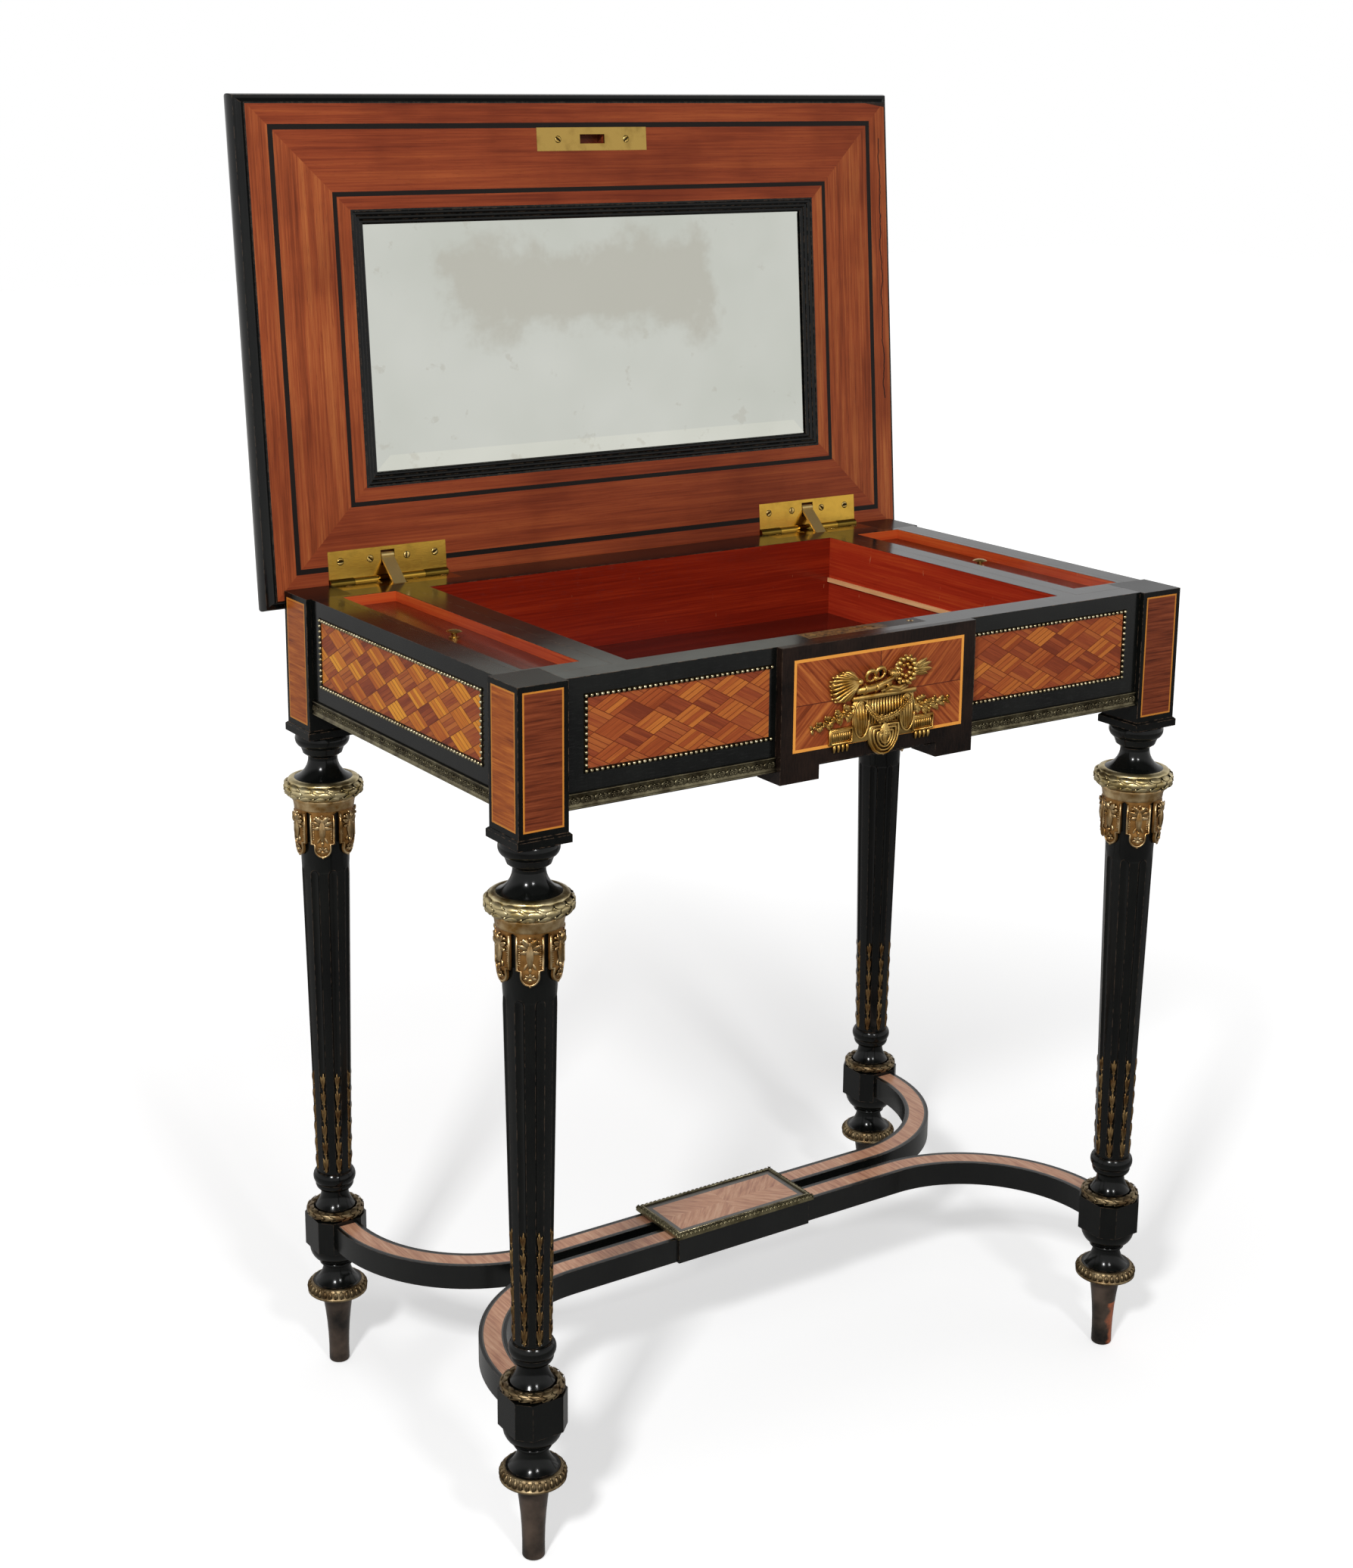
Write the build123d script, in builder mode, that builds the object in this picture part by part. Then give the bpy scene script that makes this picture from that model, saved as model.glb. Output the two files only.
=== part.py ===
from build123d import *
import os
from math import cos, radians, sin, sqrt

os.makedirs("parts", exist_ok=True)

# Writing desk with a lift-up lid, all lengths in millimetres.
# X runs to the right, Y to the back, Z up. The lid stands open on its stop arms, as it is used.
# Pieces are drawn from the middle of the case; the origin is on the floor below the middle of the
# open desk's outline, which the leaning lid carries further back.

# Case
case_w = 660.0
case_d = 395.0
case_top = 722.0
rail_h = 100.5
rail_inset = 4.5
front_rail_t = 21.0
back_rail_t = 25.0
side_rail_t = 19.5
bottom_t = 9.0
well_depth = 74.0
fit_gap = 0.3
seat_gap = 0.1
overrun = 2.0
origin_back = 24.7

# Corner posts
post_w = 43.0
post_h = 115.0
plinth_h = 7.5
plinth_out = 2.0
plinth_chamfer = 1.5
dowel_d = 18.0
dowel_l = 14.0

# Well and partitions
side_unit_w = 113.0
partition_t = 16.0
front_lining_t = 5.5
back_lining_t = 20.2
runner_h = 4.0
runner_t = 2.0
runner_down = 41.0

# Side tills with their sunk covers
till_recess_depth = 9.0
till_wall_inner = 16.0
till_wall_end = 20.0
till_wall_outer = 6.2
till_ledge = 4.0
till_floor_t = 5.0
cover_t = 5.0
cover_gap = 0.4
knob_d = 13.0
knob_stem_d = 5.0
knob_base_d = 9.0
knob_h = 7.5
knob_cap_h = 3.4
knob_base_h = 1.2

# Legs: heights are stretches from the floor up, widths are diameters
leg_tip_d = 18.5
leg_tip_round = 2.0
foot_top_d = 27.0
foot_h = 64.0
knop_under_h = 6.5
foot_flare_r = 330.0
knop_r = 12.0
gadroon_seat_d = 43.6
gadroon_d = 54.0
gadroon_h = 11.0
bell_d = 40.0
bell_h = 17.5
bell_r = 23.5
foot_neck_d = 24.0
bowl_bead_d = 31.0
bowl_bead_h = 3.0
bowl_foot_d = 28.0
bowl_h = 15.5
bowl_r = 16.0
block_w = 48.0
block_h = 31.0
block_corner = 10.3
block_ring_d = 50.0
block_ring_h = 8.0
block_ring_seat_d = 36.0
ankle_neck_d = 24.4
ankle_neck_h = 24.0
ankle_bell_r = 22.0
ankle_ovolo_d = 27.2
ankle_ovolo_h = 7.0
ankle_ovolo_r = 6.5
astragal_d = 38.0
astragal_h = 11.0
astragal_fillet_d = 34.0
shaft_bottom_d = 31.2
shaft_top_d = 42.0
shaft_h = 295.0
collar_h = 54.0
collar_seat_d = 45.6
collar_d = 51.0
laurel_seat_d = 49.6
laurel_seat_h = 18.5
laurel_section_d = 16.0
laurel_d = 70.4
lip_d = 52.6
lip_h = 1.6
neck_d = 25.4
neck_cove_h = 16.5
neck_cove_r = 19.0
neck_h = 2.6
neck_bead_d = 34.0
neck_bead_h = 3.2
ovolo_foot_d = 38.0
ovolo_d = 47.0
ovolo_top_d = 44.0
ovolo_h = 12.0
flute_count = 8
flute_turn = 36.5
flute_top_w = 8.5
flute_bottom_w = 6.3
flute_top_depth = 2.2
flute_bottom_depth = 1.7
flute_foot_margin = 5.0
flute_head_margin = 10.0
lappet_count = 6
lappet_slot_w = 4.2
lappet_slot_top = 8.0
lappet_lobe_d = 15.3
lappet_shoulder_h = 12.0
lappet_foot_t = 1.8

# Frieze dressing
panel_t = 1.6
bead_w = 3.7
bead_t = 1.9
bead_drop = 13.0
bead_field_h = 61.0
bead_end_gap = 15.5
bead_tablet_gap = 3.0
strip_h = 12.0
strip_t = 2.6
strip_up = 1.2

# Front tablet and its mount
tablet_w = 194.0
tablet_out = 2.5
tablet_foot_w = 38.0
tablet_foot_h = 12.5
tablet_foot_depth = 30.0
tablet_below = 9.0
keyhole_d = 4.6
keyhole_slot_w = 2.4
keyhole_slot_h = 7.0
keyhole_down = 29.0
mount_w = 134.0
mount_h = 71.0
mount_base_t = 3.0
mount_relief = 6.0
mount_down = 26.0

# Lock
lock_plate_w = 118.0
lock_plate_d = 17.0
lock_plate_t = 2.5
lock_body_w = 70.0
lock_body_h = 38.0
lock_line = 22.5
bolt_w = 22.0
bolt_t = 5.0
bolt_l = 30.0
bolt_low = 0.3
bolt_travel = 8.0

# Hinges and their stop arms
hinge_w = 115.2
hinge_out = 12.2
hinge_back = 1.5
hinge_leaf = 28.2
leaf_t = 2.0
knuckle_d = 7.0
knuckle_count = 5
hinge_pin_d = 2.6
pin_play = 0.1
lid_gap = 0.4
lid_lean = 4.8
arm_w = 12.0
arm_t = 2.0
arm_pivot_up = 20.0
arm_pivot_in = 2.3
arm_pin_d = 2.2
arm_eye_d = 6.0
arm_l = 36.3
arm_head_w = 15.2
arm_head_d = 3.0
arm_lean = 49.4
arm_slot_w = 13.4
arm_slot_l = 9.0
arm_slot_in = 19.8
arm_pocket_w = 16.4
arm_pocket_l = 18.4
arm_pocket_depth = 38.0
arm_notch_l = 13.5
arm_notch_in = 6.5
arm_notch_up = 18.3
cheek_t = 1.4

# Lid
lid_t = 27.0
lid_side_over = 15.0
lid_front_over = 18.0
lid_back_over = 20.0
lid_edge_w = 9.2
lid_edge_step = 2.2
lid_edge_fillet = 1.2
lid_ovolo_r = 5.0
lid_band_in = 1.6
lid_crown_drop = 3.0
mirror_side = 100.0
mirror_strike_gap = 57.0
mirror_frame_rim = 12.2
mirror_frame_flat = 1.6
mirror_frame_lip = 0.8
frame_reeds = 3
reed_quirk = 0.6
reed_proud = 0.7
mirror_frame_t = 10.0
mirror_up = 80.0
glass_t = 4.0
glass_down = 4.0
glass_cover = 4.0
glass_bevel_w = 14.0
glass_bevel_t = 1.6
strike_w = 116.0
strike_h = 20.5
strike_t = 2.0
strike_slot_w = 26.0
strike_slot_h = 8.2

# Stretcher
stretcher_w = 23.0
stretcher_h = 22.0
stretcher_top = 145.0
stretcher_gap = 12.5
stretcher_straight = 6.0
platform_w = 144.0
platform_d = 63.0
platform_rise = 1.5
platform_drop = 1.0
platform_edge_w = 150.0
platform_edge_d = 69.0
platform_edge_h = 5.0
platform_edge_rim = 5.5
platform_field_down = 1.2

# Derived places
half_w = case_w / 2
half_d = case_d / 2
post_bottom = case_top - post_h
leg_top = post_bottom - plinth_h
rail_bottom = case_top - rail_h
leg_x = half_w - post_w / 2
leg_y = half_d - post_w / 2
post_in_x = half_w - post_w
post_in_y = half_d - post_w
face_x = half_w - rail_inset
face_y = half_d - rail_inset
rail_in_front = -face_y + front_rail_t
rail_in_back = face_y - back_rail_t
rail_in_side = face_x - side_rail_t
well_half = half_w - side_unit_w
well_w = 2 * well_half
well_floor = case_top - well_depth
corners = {
    "front_left": (-1, -1),
    "front_right": (1, -1),
    "back_left": (-1, 1),
    "back_right": (1, 1),
}
sides = {"left": -1, "right": 1}


def save(builder, name):
    """Moves a finished piece to the origin, labels it and writes it as its own file."""
    piece = builder.part.moved(Location((0, -origin_back, 0)))
    piece.label = name
    export_step(piece, f"parts/{name}.step")


# Legs: one turned profile, stations from the floor up

knop_z = foot_h + knop_under_h
gadroon_top = knop_z + gadroon_h
foot_neck_z = gadroon_top + bell_h
bowl_z = foot_neck_z + bowl_bead_h
block_z = bowl_z + bowl_h
block_top = block_z + block_h
block_ring_top = block_top + block_ring_h
ankle_neck_z = block_top + ankle_neck_h
astragal_z = ankle_neck_z + ankle_ovolo_h
shaft_z = astragal_z + astragal_h
shaft_end = shaft_z + shaft_h
collar_end = shaft_end + collar_h
laurel_z = collar_end + laurel_seat_h / 2 + seat_gap
lip_z = collar_end + laurel_seat_h
lip_end = lip_z + lip_h
neck_z = lip_end + neck_cove_h
neck_end = neck_z + neck_h
bead_z = neck_end + neck_bead_h
ovolo_z = leg_top - ovolo_h
shaft_slope = (shaft_top_d - shaft_bottom_d) / 2 / shaft_h


def arc_radius(width, depth):
    """Radius of a round groove or dome from its width and depth."""
    return (width**2 / 4 + depth**2) / (2 * depth)


flute_low_z = shaft_z + flute_foot_margin
flute_high_z = shaft_end - flute_head_margin
flute_low_r = arc_radius(flute_bottom_w, flute_bottom_depth)
flute_high_r = arc_radius(flute_top_w, flute_top_depth)
flute_low_x = shaft_bottom_d / 2 + shaft_slope * flute_foot_margin + flute_low_r - flute_bottom_depth
flute_high_x = shaft_top_d / 2 - shaft_slope * flute_head_margin + flute_high_r - flute_top_depth
flute_run = sqrt((flute_high_x - flute_low_x) ** 2 + (flute_high_z - flute_low_z) ** 2)
flute_axis = Plane(
    origin=(flute_low_x, 0, flute_low_z),
    x_dir=(flute_high_x - flute_low_x, 0, flute_high_z - flute_low_z),
    z_dir=(0, 1, 0),
)

with BuildPart() as flute_cutter:
    with BuildSketch(flute_axis):
        with BuildLine():
            Line((-flute_low_r, 0), (flute_run + flute_high_r, 0))
            CenterArc((flute_run, 0), flute_high_r, 0, 90)
            Line((flute_run, flute_high_r), (0, flute_low_r))
            CenterArc((0, 0), flute_low_r, 90, 90)
        make_face()
    revolve(axis=Axis((flute_low_x, 0, flute_low_z), flute_axis.x_dir))

with BuildPart() as leg_model:
    with BuildSketch(Plane.XZ):
        with BuildLine():
            Line((0, 0), (leg_tip_d / 2 - leg_tip_round, 0))
            JernArc((leg_tip_d / 2 - leg_tip_round, 0), (1, 0), leg_tip_round, 90)
            RadiusArc((leg_tip_d / 2, leg_tip_round), (foot_top_d / 2, foot_h), foot_flare_r)
            RadiusArc((foot_top_d / 2, foot_h), (gadroon_seat_d / 2, knop_z), -knop_r)
            Line((gadroon_seat_d / 2, knop_z), (gadroon_seat_d / 2, gadroon_top))
            Line((gadroon_seat_d / 2, gadroon_top), (bell_d / 2, gadroon_top))
            RadiusArc((bell_d / 2, gadroon_top), (foot_neck_d / 2, foot_neck_z), bell_r)
            Line((foot_neck_d / 2, foot_neck_z), (bowl_foot_d / 2, foot_neck_z))
            ThreePointArc(
                (bowl_foot_d / 2, foot_neck_z),
                (bowl_bead_d / 2, foot_neck_z + bowl_bead_h / 2),
                (bowl_foot_d / 2, bowl_z),
            )
            RadiusArc((bowl_foot_d / 2, bowl_z), (block_w / 2, block_z), -bowl_r)
            Polyline(
                (block_w / 2, block_z),
                (block_w / 2, block_top),
                (block_ring_seat_d / 2, block_top),
                (block_ring_seat_d / 2, block_ring_top),
            )
            RadiusArc(
                (block_ring_seat_d / 2, block_ring_top),
                (ankle_neck_d / 2, ankle_neck_z),
                ankle_bell_r,
            )
            Line((ankle_neck_d / 2, ankle_neck_z), (ankle_ovolo_d / 2, ankle_neck_z))
            RadiusArc(
                (ankle_ovolo_d / 2, ankle_neck_z),
                (astragal_fillet_d / 2, astragal_z),
                -ankle_ovolo_r,
            )
            ThreePointArc(
                (astragal_fillet_d / 2, astragal_z),
                (astragal_d / 2, astragal_z + astragal_h / 2),
                (astragal_fillet_d / 2, shaft_z),
            )
            Polyline(
                (astragal_fillet_d / 2, shaft_z),
                (shaft_bottom_d / 2, shaft_z),
                (shaft_top_d / 2, shaft_end),
                (collar_seat_d / 2, collar_end),
                (laurel_seat_d / 2, collar_end),
                (laurel_seat_d / 2, lip_z),
                (lip_d / 2, lip_z),
                (lip_d / 2, lip_end),
            )
            RadiusArc((lip_d / 2, lip_end), (neck_d / 2, neck_z), neck_cove_r)
            Polyline(
                (neck_d / 2, neck_z),
                (neck_d / 2, neck_end),
                (neck_bead_d / 2, bead_z),
                (ovolo_foot_d / 2, ovolo_z),
            )
            ThreePointArc(
                (ovolo_foot_d / 2, ovolo_z),
                (ovolo_d / 2, ovolo_z + ovolo_h / 2),
                (ovolo_top_d / 2, leg_top),
            )
            Polyline(
                (ovolo_top_d / 2, leg_top),
                (dowel_d / 2 - seat_gap, leg_top),
                (dowel_d / 2 - seat_gap, leg_top + dowel_l),
                (0, leg_top + dowel_l),
                (0, 0),
            )
        make_face()
    revolve(axis=Axis.Z)
    with BuildSketch(Plane.XY.offset(block_z)):
        Rectangle(block_w, block_w)
        chamfer(vertices(), length=block_corner)
    extrude(amount=block_h)
    with PolarLocations(0, flute_count, start_angle=flute_turn):
        add(flute_cutter.part, mode=Mode.SUBTRACT)

for corner, (side_x, side_y) in corners.items():
    with BuildPart() as leg:
        with Locations((side_x * leg_x, side_y * leg_y, 0)):
            add(leg_model.part)
    save(leg, f"leg_{corner}")

# Bronze rings and collars on the legs

with BuildPart() as laurel_model:
    with BuildSketch(Plane.XZ):
        with Locations((laurel_d / 2 - laurel_section_d / 2, laurel_z)):
            Circle(laurel_section_d / 2)
        with Locations((0, laurel_z)):
            Rectangle(laurel_seat_d + 2 * seat_gap, laurel_section_d + overrun, mode=Mode.SUBTRACT)
    revolve(axis=Axis.Z)

with BuildPart() as lappet_cutter:
    with BuildSketch(Plane.YZ):
        with Locations((0, shaft_end + lappet_shoulder_h)):
            Rectangle(
                collar_d / 2,
                lappet_shoulder_h + overrun,
                align=(Align.CENTER, Align.MAX),
            )
        with Locations((0, shaft_end + lappet_lobe_d / 2)):
            Circle(lappet_lobe_d / 2, mode=Mode.SUBTRACT)
            Rectangle(
                lappet_lobe_d,
                lappet_shoulder_h,
                align=(Align.CENTER, Align.MIN),
                mode=Mode.SUBTRACT,
            )
    extrude(amount=collar_d)

with BuildPart() as collar_model:
    with BuildSketch(Plane.XZ):
        with BuildLine():
            Polyline(
                (shaft_top_d / 2 + seat_gap, shaft_end),
                (shaft_top_d / 2 + seat_gap + lappet_foot_t, shaft_end),
                (collar_d / 2, shaft_end + lappet_shoulder_h),
                (collar_d / 2, collar_end),
                (collar_seat_d / 2 + seat_gap, collar_end),
                close=True,
            )
        make_face()
    revolve(axis=Axis.Z)
    with PolarLocations(0, lappet_count, start_angle=180 / lappet_count):
        with Locations((0, 0, collar_end - lappet_slot_top - lappet_slot_w / 2)):
            Cylinder(
                lappet_slot_w / 2,
                collar_d,
                rotation=(0, 90, 0),
                align=(Align.CENTER, Align.CENTER, Align.MIN),
                mode=Mode.SUBTRACT,
            )
            Box(
                collar_d,
                lappet_slot_w,
                collar_h,
                align=(Align.MIN, Align.CENTER, Align.MAX),
                mode=Mode.SUBTRACT,
            )
    with PolarLocations(0, lappet_count):
        add(lappet_cutter.part, mode=Mode.SUBTRACT)

for corner, (side_x, side_y) in corners.items():
    with BuildPart() as laurel_ring:
        with Locations((side_x * leg_x, side_y * leg_y, 0)):
            add(laurel_model.part)
    save(laurel_ring, f"laurel_ring_{corner}")
    with BuildPart() as lappet_collar:
        with Locations((side_x * leg_x, side_y * leg_y, 0)):
            add(collar_model.part)
    save(lappet_collar, f"lappet_collar_{corner}")

leg_places = [(x * leg_x, y * leg_y, 0) for x, y in corners.values()]

with BuildPart() as block_ring_model:
    with BuildSketch(Plane.XZ):
        with BuildLine():
            Polyline(
                (block_ring_d / 2 - block_ring_h / 2, block_ring_top),
                (block_ring_seat_d / 2 + seat_gap, block_ring_top),
                (block_ring_seat_d / 2 + seat_gap, block_top),
                (block_ring_d / 2 - block_ring_h / 2, block_top),
            )
            ThreePointArc(
                (block_ring_d / 2 - block_ring_h / 2, block_top),
                (block_ring_d / 2, block_top + block_ring_h / 2),
                (block_ring_d / 2 - block_ring_h / 2, block_ring_top),
            )
        make_face()
    revolve(axis=Axis.Z)

with BuildPart() as block_rings:
    with Locations(*leg_places):
        add(block_ring_model.part)
save(block_rings, "block_rings")

with BuildPart() as gadroon_model:
    with BuildSketch(Plane.XZ):
        with BuildLine():
            Polyline(
                (gadroon_seat_d / 2 + seat_gap + overrun, gadroon_top),
                (gadroon_seat_d / 2 + seat_gap, gadroon_top),
                (gadroon_seat_d / 2 + seat_gap, knop_z),
                (gadroon_seat_d / 2 + seat_gap + overrun, knop_z),
            )
            ThreePointArc(
                (gadroon_seat_d / 2 + seat_gap + overrun, knop_z),
                (gadroon_d / 2, knop_z + gadroon_h / 2),
                (gadroon_seat_d / 2 + seat_gap + overrun, gadroon_top),
            )
        make_face()
    revolve(axis=Axis.Z)

with BuildPart() as gadroon_rings:
    with Locations(*leg_places):
        add(gadroon_model.part)
save(gadroon_rings, "gadroon_rings")

# Corner posts: a square post on a small plinth moulding, bored for the leg's dowel

with BuildPart() as post_model:
    Box(
        post_w + 2 * plinth_out,
        post_w + 2 * plinth_out,
        plinth_h,
        align=(Align.CENTER, Align.CENTER, Align.MIN),
    )
    chamfer(post_model.faces().sort_by(Axis.Z)[-1].edges(), length=plinth_chamfer)
    Box(post_w, post_w, plinth_h + post_h, align=(Align.CENTER, Align.CENTER, Align.MIN))
    Cylinder(
        dowel_d / 2,
        dowel_l + fit_gap,
        align=(Align.CENTER, Align.CENTER, Align.MIN),
        mode=Mode.SUBTRACT,
    )

for corner, (side_x, side_y) in corners.items():
    with BuildPart() as post:
        with Locations((side_x * leg_x, side_y * leg_y, leg_top)):
            add(post_model.part)
    save(post, f"post_{corner}")

# Frieze fields: each is a parquetry panel let into its rail, framed by a row of beads

bead_top = case_top - bead_drop
bead_bottom = bead_top - bead_field_h
bead_mid = (bead_top + bead_bottom) / 2
side_bead_l = 2 * post_in_y - 2 * bead_end_gap
back_bead_l = 2 * post_in_x - 2 * bead_end_gap
front_bead_l = post_in_x - bead_end_gap - tablet_w / 2 - bead_tablet_gap
front_bead_x = tablet_w / 2 + bead_tablet_gap + front_bead_l / 2
front_plane = Plane(origin=(0, -face_y, 0), x_dir=(1, 0, 0), z_dir=(0, -1, 0))
back_plane = Plane(origin=(0, face_y, 0), x_dir=(-1, 0, 0), z_dir=(0, 1, 0))
left_plane = Plane(origin=(-face_x, 0, 0), x_dir=(0, -1, 0), z_dir=(-1, 0, 0))
right_plane = Plane(origin=(face_x, 0, 0), x_dir=(0, 1, 0), z_dir=(1, 0, 0))
fields = {
    "front_left": (front_plane, -front_bead_x, front_bead_l),
    "front_right": (front_plane, front_bead_x, front_bead_l),
    "left": (left_plane, 0, side_bead_l),
    "right": (right_plane, 0, side_bead_l),
    "back": (back_plane, 0, back_bead_l),
}


def field_recess(name):
    """Cuts the shallow bed of a parquetry panel in the rail that is being built."""
    plane, along, length = fields[name]
    with BuildSketch(plane) as bed:
        with Locations((along, bead_mid)):
            Rectangle(length - 2 * bead_w, bead_field_h - 2 * bead_w)
    extrude(bed.sketch, amount=-panel_t, mode=Mode.SUBTRACT)


for name, (plane, along, length) in fields.items():
    with BuildPart() as parquetry:
        with BuildSketch(plane):
            with Locations((along, bead_mid)):
                Rectangle(length - 2 * bead_w, bead_field_h - 2 * bead_w)
        extrude(amount=-panel_t)
    save(parquetry, f"parquetry_{name}")

with BuildPart() as bead_frames:
    for plane, along, length in fields.values():
        with BuildSketch(plane):
            with Locations((along, bead_mid)):
                Rectangle(length, bead_field_h)
                Rectangle(length - 2 * bead_w, bead_field_h - 2 * bead_w, mode=Mode.SUBTRACT)
        extrude(amount=bead_t)
save(bead_frames, "bead_frames")

strips = {
    "front_left": (front_plane, -(post_in_x + tablet_w / 2) / 2, post_in_x - tablet_w / 2),
    "front_right": (front_plane, (post_in_x + tablet_w / 2) / 2, post_in_x - tablet_w / 2),
    "left": (left_plane, 0, 2 * post_in_y),
    "right": (right_plane, 0, 2 * post_in_y),
    "back": (back_plane, 0, 2 * post_in_x),
}
strip_mid = rail_bottom + strip_up + strip_h / 2

with BuildPart() as frieze_strips:
    for plane, along, length in strips.values():
        with BuildSketch(plane):
            with Locations((along, strip_mid)):
                Rectangle(length, strip_h)
        extrude(amount=strip_t)
save(frieze_strips, "frieze_strips")

# Rails

rail_mid = (case_top + rail_bottom) / 2
lock_y = -half_d + lock_line
lock_body_y = lock_y - lock_plate_d / 2

with BuildPart() as rail_front:
    with Locations((0, -face_y, rail_mid)):
        Box(2 * post_in_x, front_rail_t, rail_h, align=(Align.CENTER, Align.MIN, Align.CENTER))
    with Locations((0, rail_in_front, case_top)):
        Box(
            well_w,
            front_lining_t,
            well_depth,
            align=(Align.CENTER, Align.MIN, Align.MAX),
        )
    field_recess("front_left")
    field_recess("front_right")
    with Locations((0, lock_y, case_top)):
        Box(
            lock_plate_w,
            lock_plate_d,
            lock_plate_t,
            align=(Align.CENTER, Align.CENTER, Align.MAX),
            mode=Mode.SUBTRACT,
        )
    with Locations((0, lock_body_y, case_top)):
        Box(
            lock_body_w,
            front_rail_t + front_lining_t,
            lock_plate_t + lock_body_h,
            align=(Align.CENTER, Align.MIN, Align.MAX),
            mode=Mode.SUBTRACT,
        )
    with BuildSketch(front_plane):
        with Locations((0, case_top - keyhole_down)):
            Circle(keyhole_d / 2)
        with Locations((0, case_top - keyhole_down - keyhole_slot_h / 2)):
            Rectangle(keyhole_slot_w, keyhole_slot_h)
    extrude(amount=-front_rail_t, mode=Mode.SUBTRACT)
save(rail_front, "rail_front")

hinge_x = well_half + hinge_out
slot_y = half_d + hinge_back - arm_slot_in

with BuildPart() as rail_back:
    with Locations((0, face_y, rail_mid)):
        Box(2 * post_in_x, back_rail_t, rail_h, align=(Align.CENTER, Align.MAX, Align.CENTER))
    with Locations((0, rail_in_back, case_top)):
        Box(
            well_w,
            back_lining_t,
            well_depth,
            align=(Align.CENTER, Align.MAX, Align.MAX),
        )
    field_recess("back")
    for side in sides.values():
        with Locations((side * hinge_x, face_y, case_top)):
            Box(
                hinge_w,
                face_y - half_d - hinge_back + hinge_leaf,
                leaf_t,
                align=(Align.CENTER, Align.MAX, Align.MAX),
                mode=Mode.SUBTRACT,
            )
        with Locations((side * hinge_x, slot_y, case_top)):
            Box(
                arm_pocket_w,
                arm_pocket_l,
                arm_pocket_depth,
                align=(Align.CENTER, Align.CENTER, Align.MAX),
                mode=Mode.SUBTRACT,
            )
save(rail_back, "rail_back")

for side_name, side in sides.items():
    with BuildPart() as rail_side:
        with Locations((side * (face_x - side_rail_t / 2), 0, rail_mid)):
            Box(side_rail_t, 2 * post_in_y, rail_h)
        field_recess(side_name)
    save(rail_side, f"rail_{side_name}")

# Bottom board, notched round the posts, and the two partitions

with BuildPart() as case_bottom:
    with Locations((0, (rail_in_front + rail_in_back) / 2, well_floor)):
        Box(
            2 * rail_in_side,
            rail_in_back - rail_in_front,
            bottom_t,
            align=(Align.CENTER, Align.CENTER, Align.MAX),
        )
    with Locations(*[(x * leg_x, y * leg_y, well_floor) for x, y in corners.values()]):
        Box(post_w, post_w, 2 * bottom_t + overrun, mode=Mode.SUBTRACT)
save(case_bottom, "case_bottom")

for side_name, side in sides.items():
    with BuildPart() as partition:
        with Locations((side * (well_half + partition_t / 2), rail_in_front, well_floor)):
            Box(
                partition_t,
                rail_in_back - rail_in_front,
                well_depth,
                align=(Align.CENTER, Align.MIN, Align.MIN),
            )
    save(partition, f"partition_{side_name}")

with BuildPart() as tray_runners:
    for side in sides.values():
        with Locations(
            (
                side * (well_half - runner_t / 2),
                (rail_in_front + front_lining_t + rail_in_back - back_lining_t) / 2,
                case_top - runner_down,
            )
        ):
            Box(
                runner_t,
                rail_in_back - back_lining_t - rail_in_front - front_lining_t,
                runner_h,
            )
save(tray_runners, "tray_runners")

# Side tills: a box with a broad rim, notched round the posts, and a sunk cover on a ledge

till_in = well_half + partition_t + fit_gap
till_out = rail_in_side - fit_gap
till_mid = post_in_x - fit_gap
till_front = rail_in_front + fit_gap
till_back = rail_in_back - fit_gap
till_h = well_depth
recess_in = till_in + till_wall_inner
recess_out = till_out - till_wall_outer
recess_front = till_front + till_wall_end
recess_back = till_back - till_wall_end
recess_x = (recess_in + recess_out) / 2
recess_y = (recess_front + recess_back) / 2
recess_w = recess_out - recess_in
recess_l = recess_back - recess_front
cover_top = case_top - till_recess_depth
ledge_z = cover_top - cover_t

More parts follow.
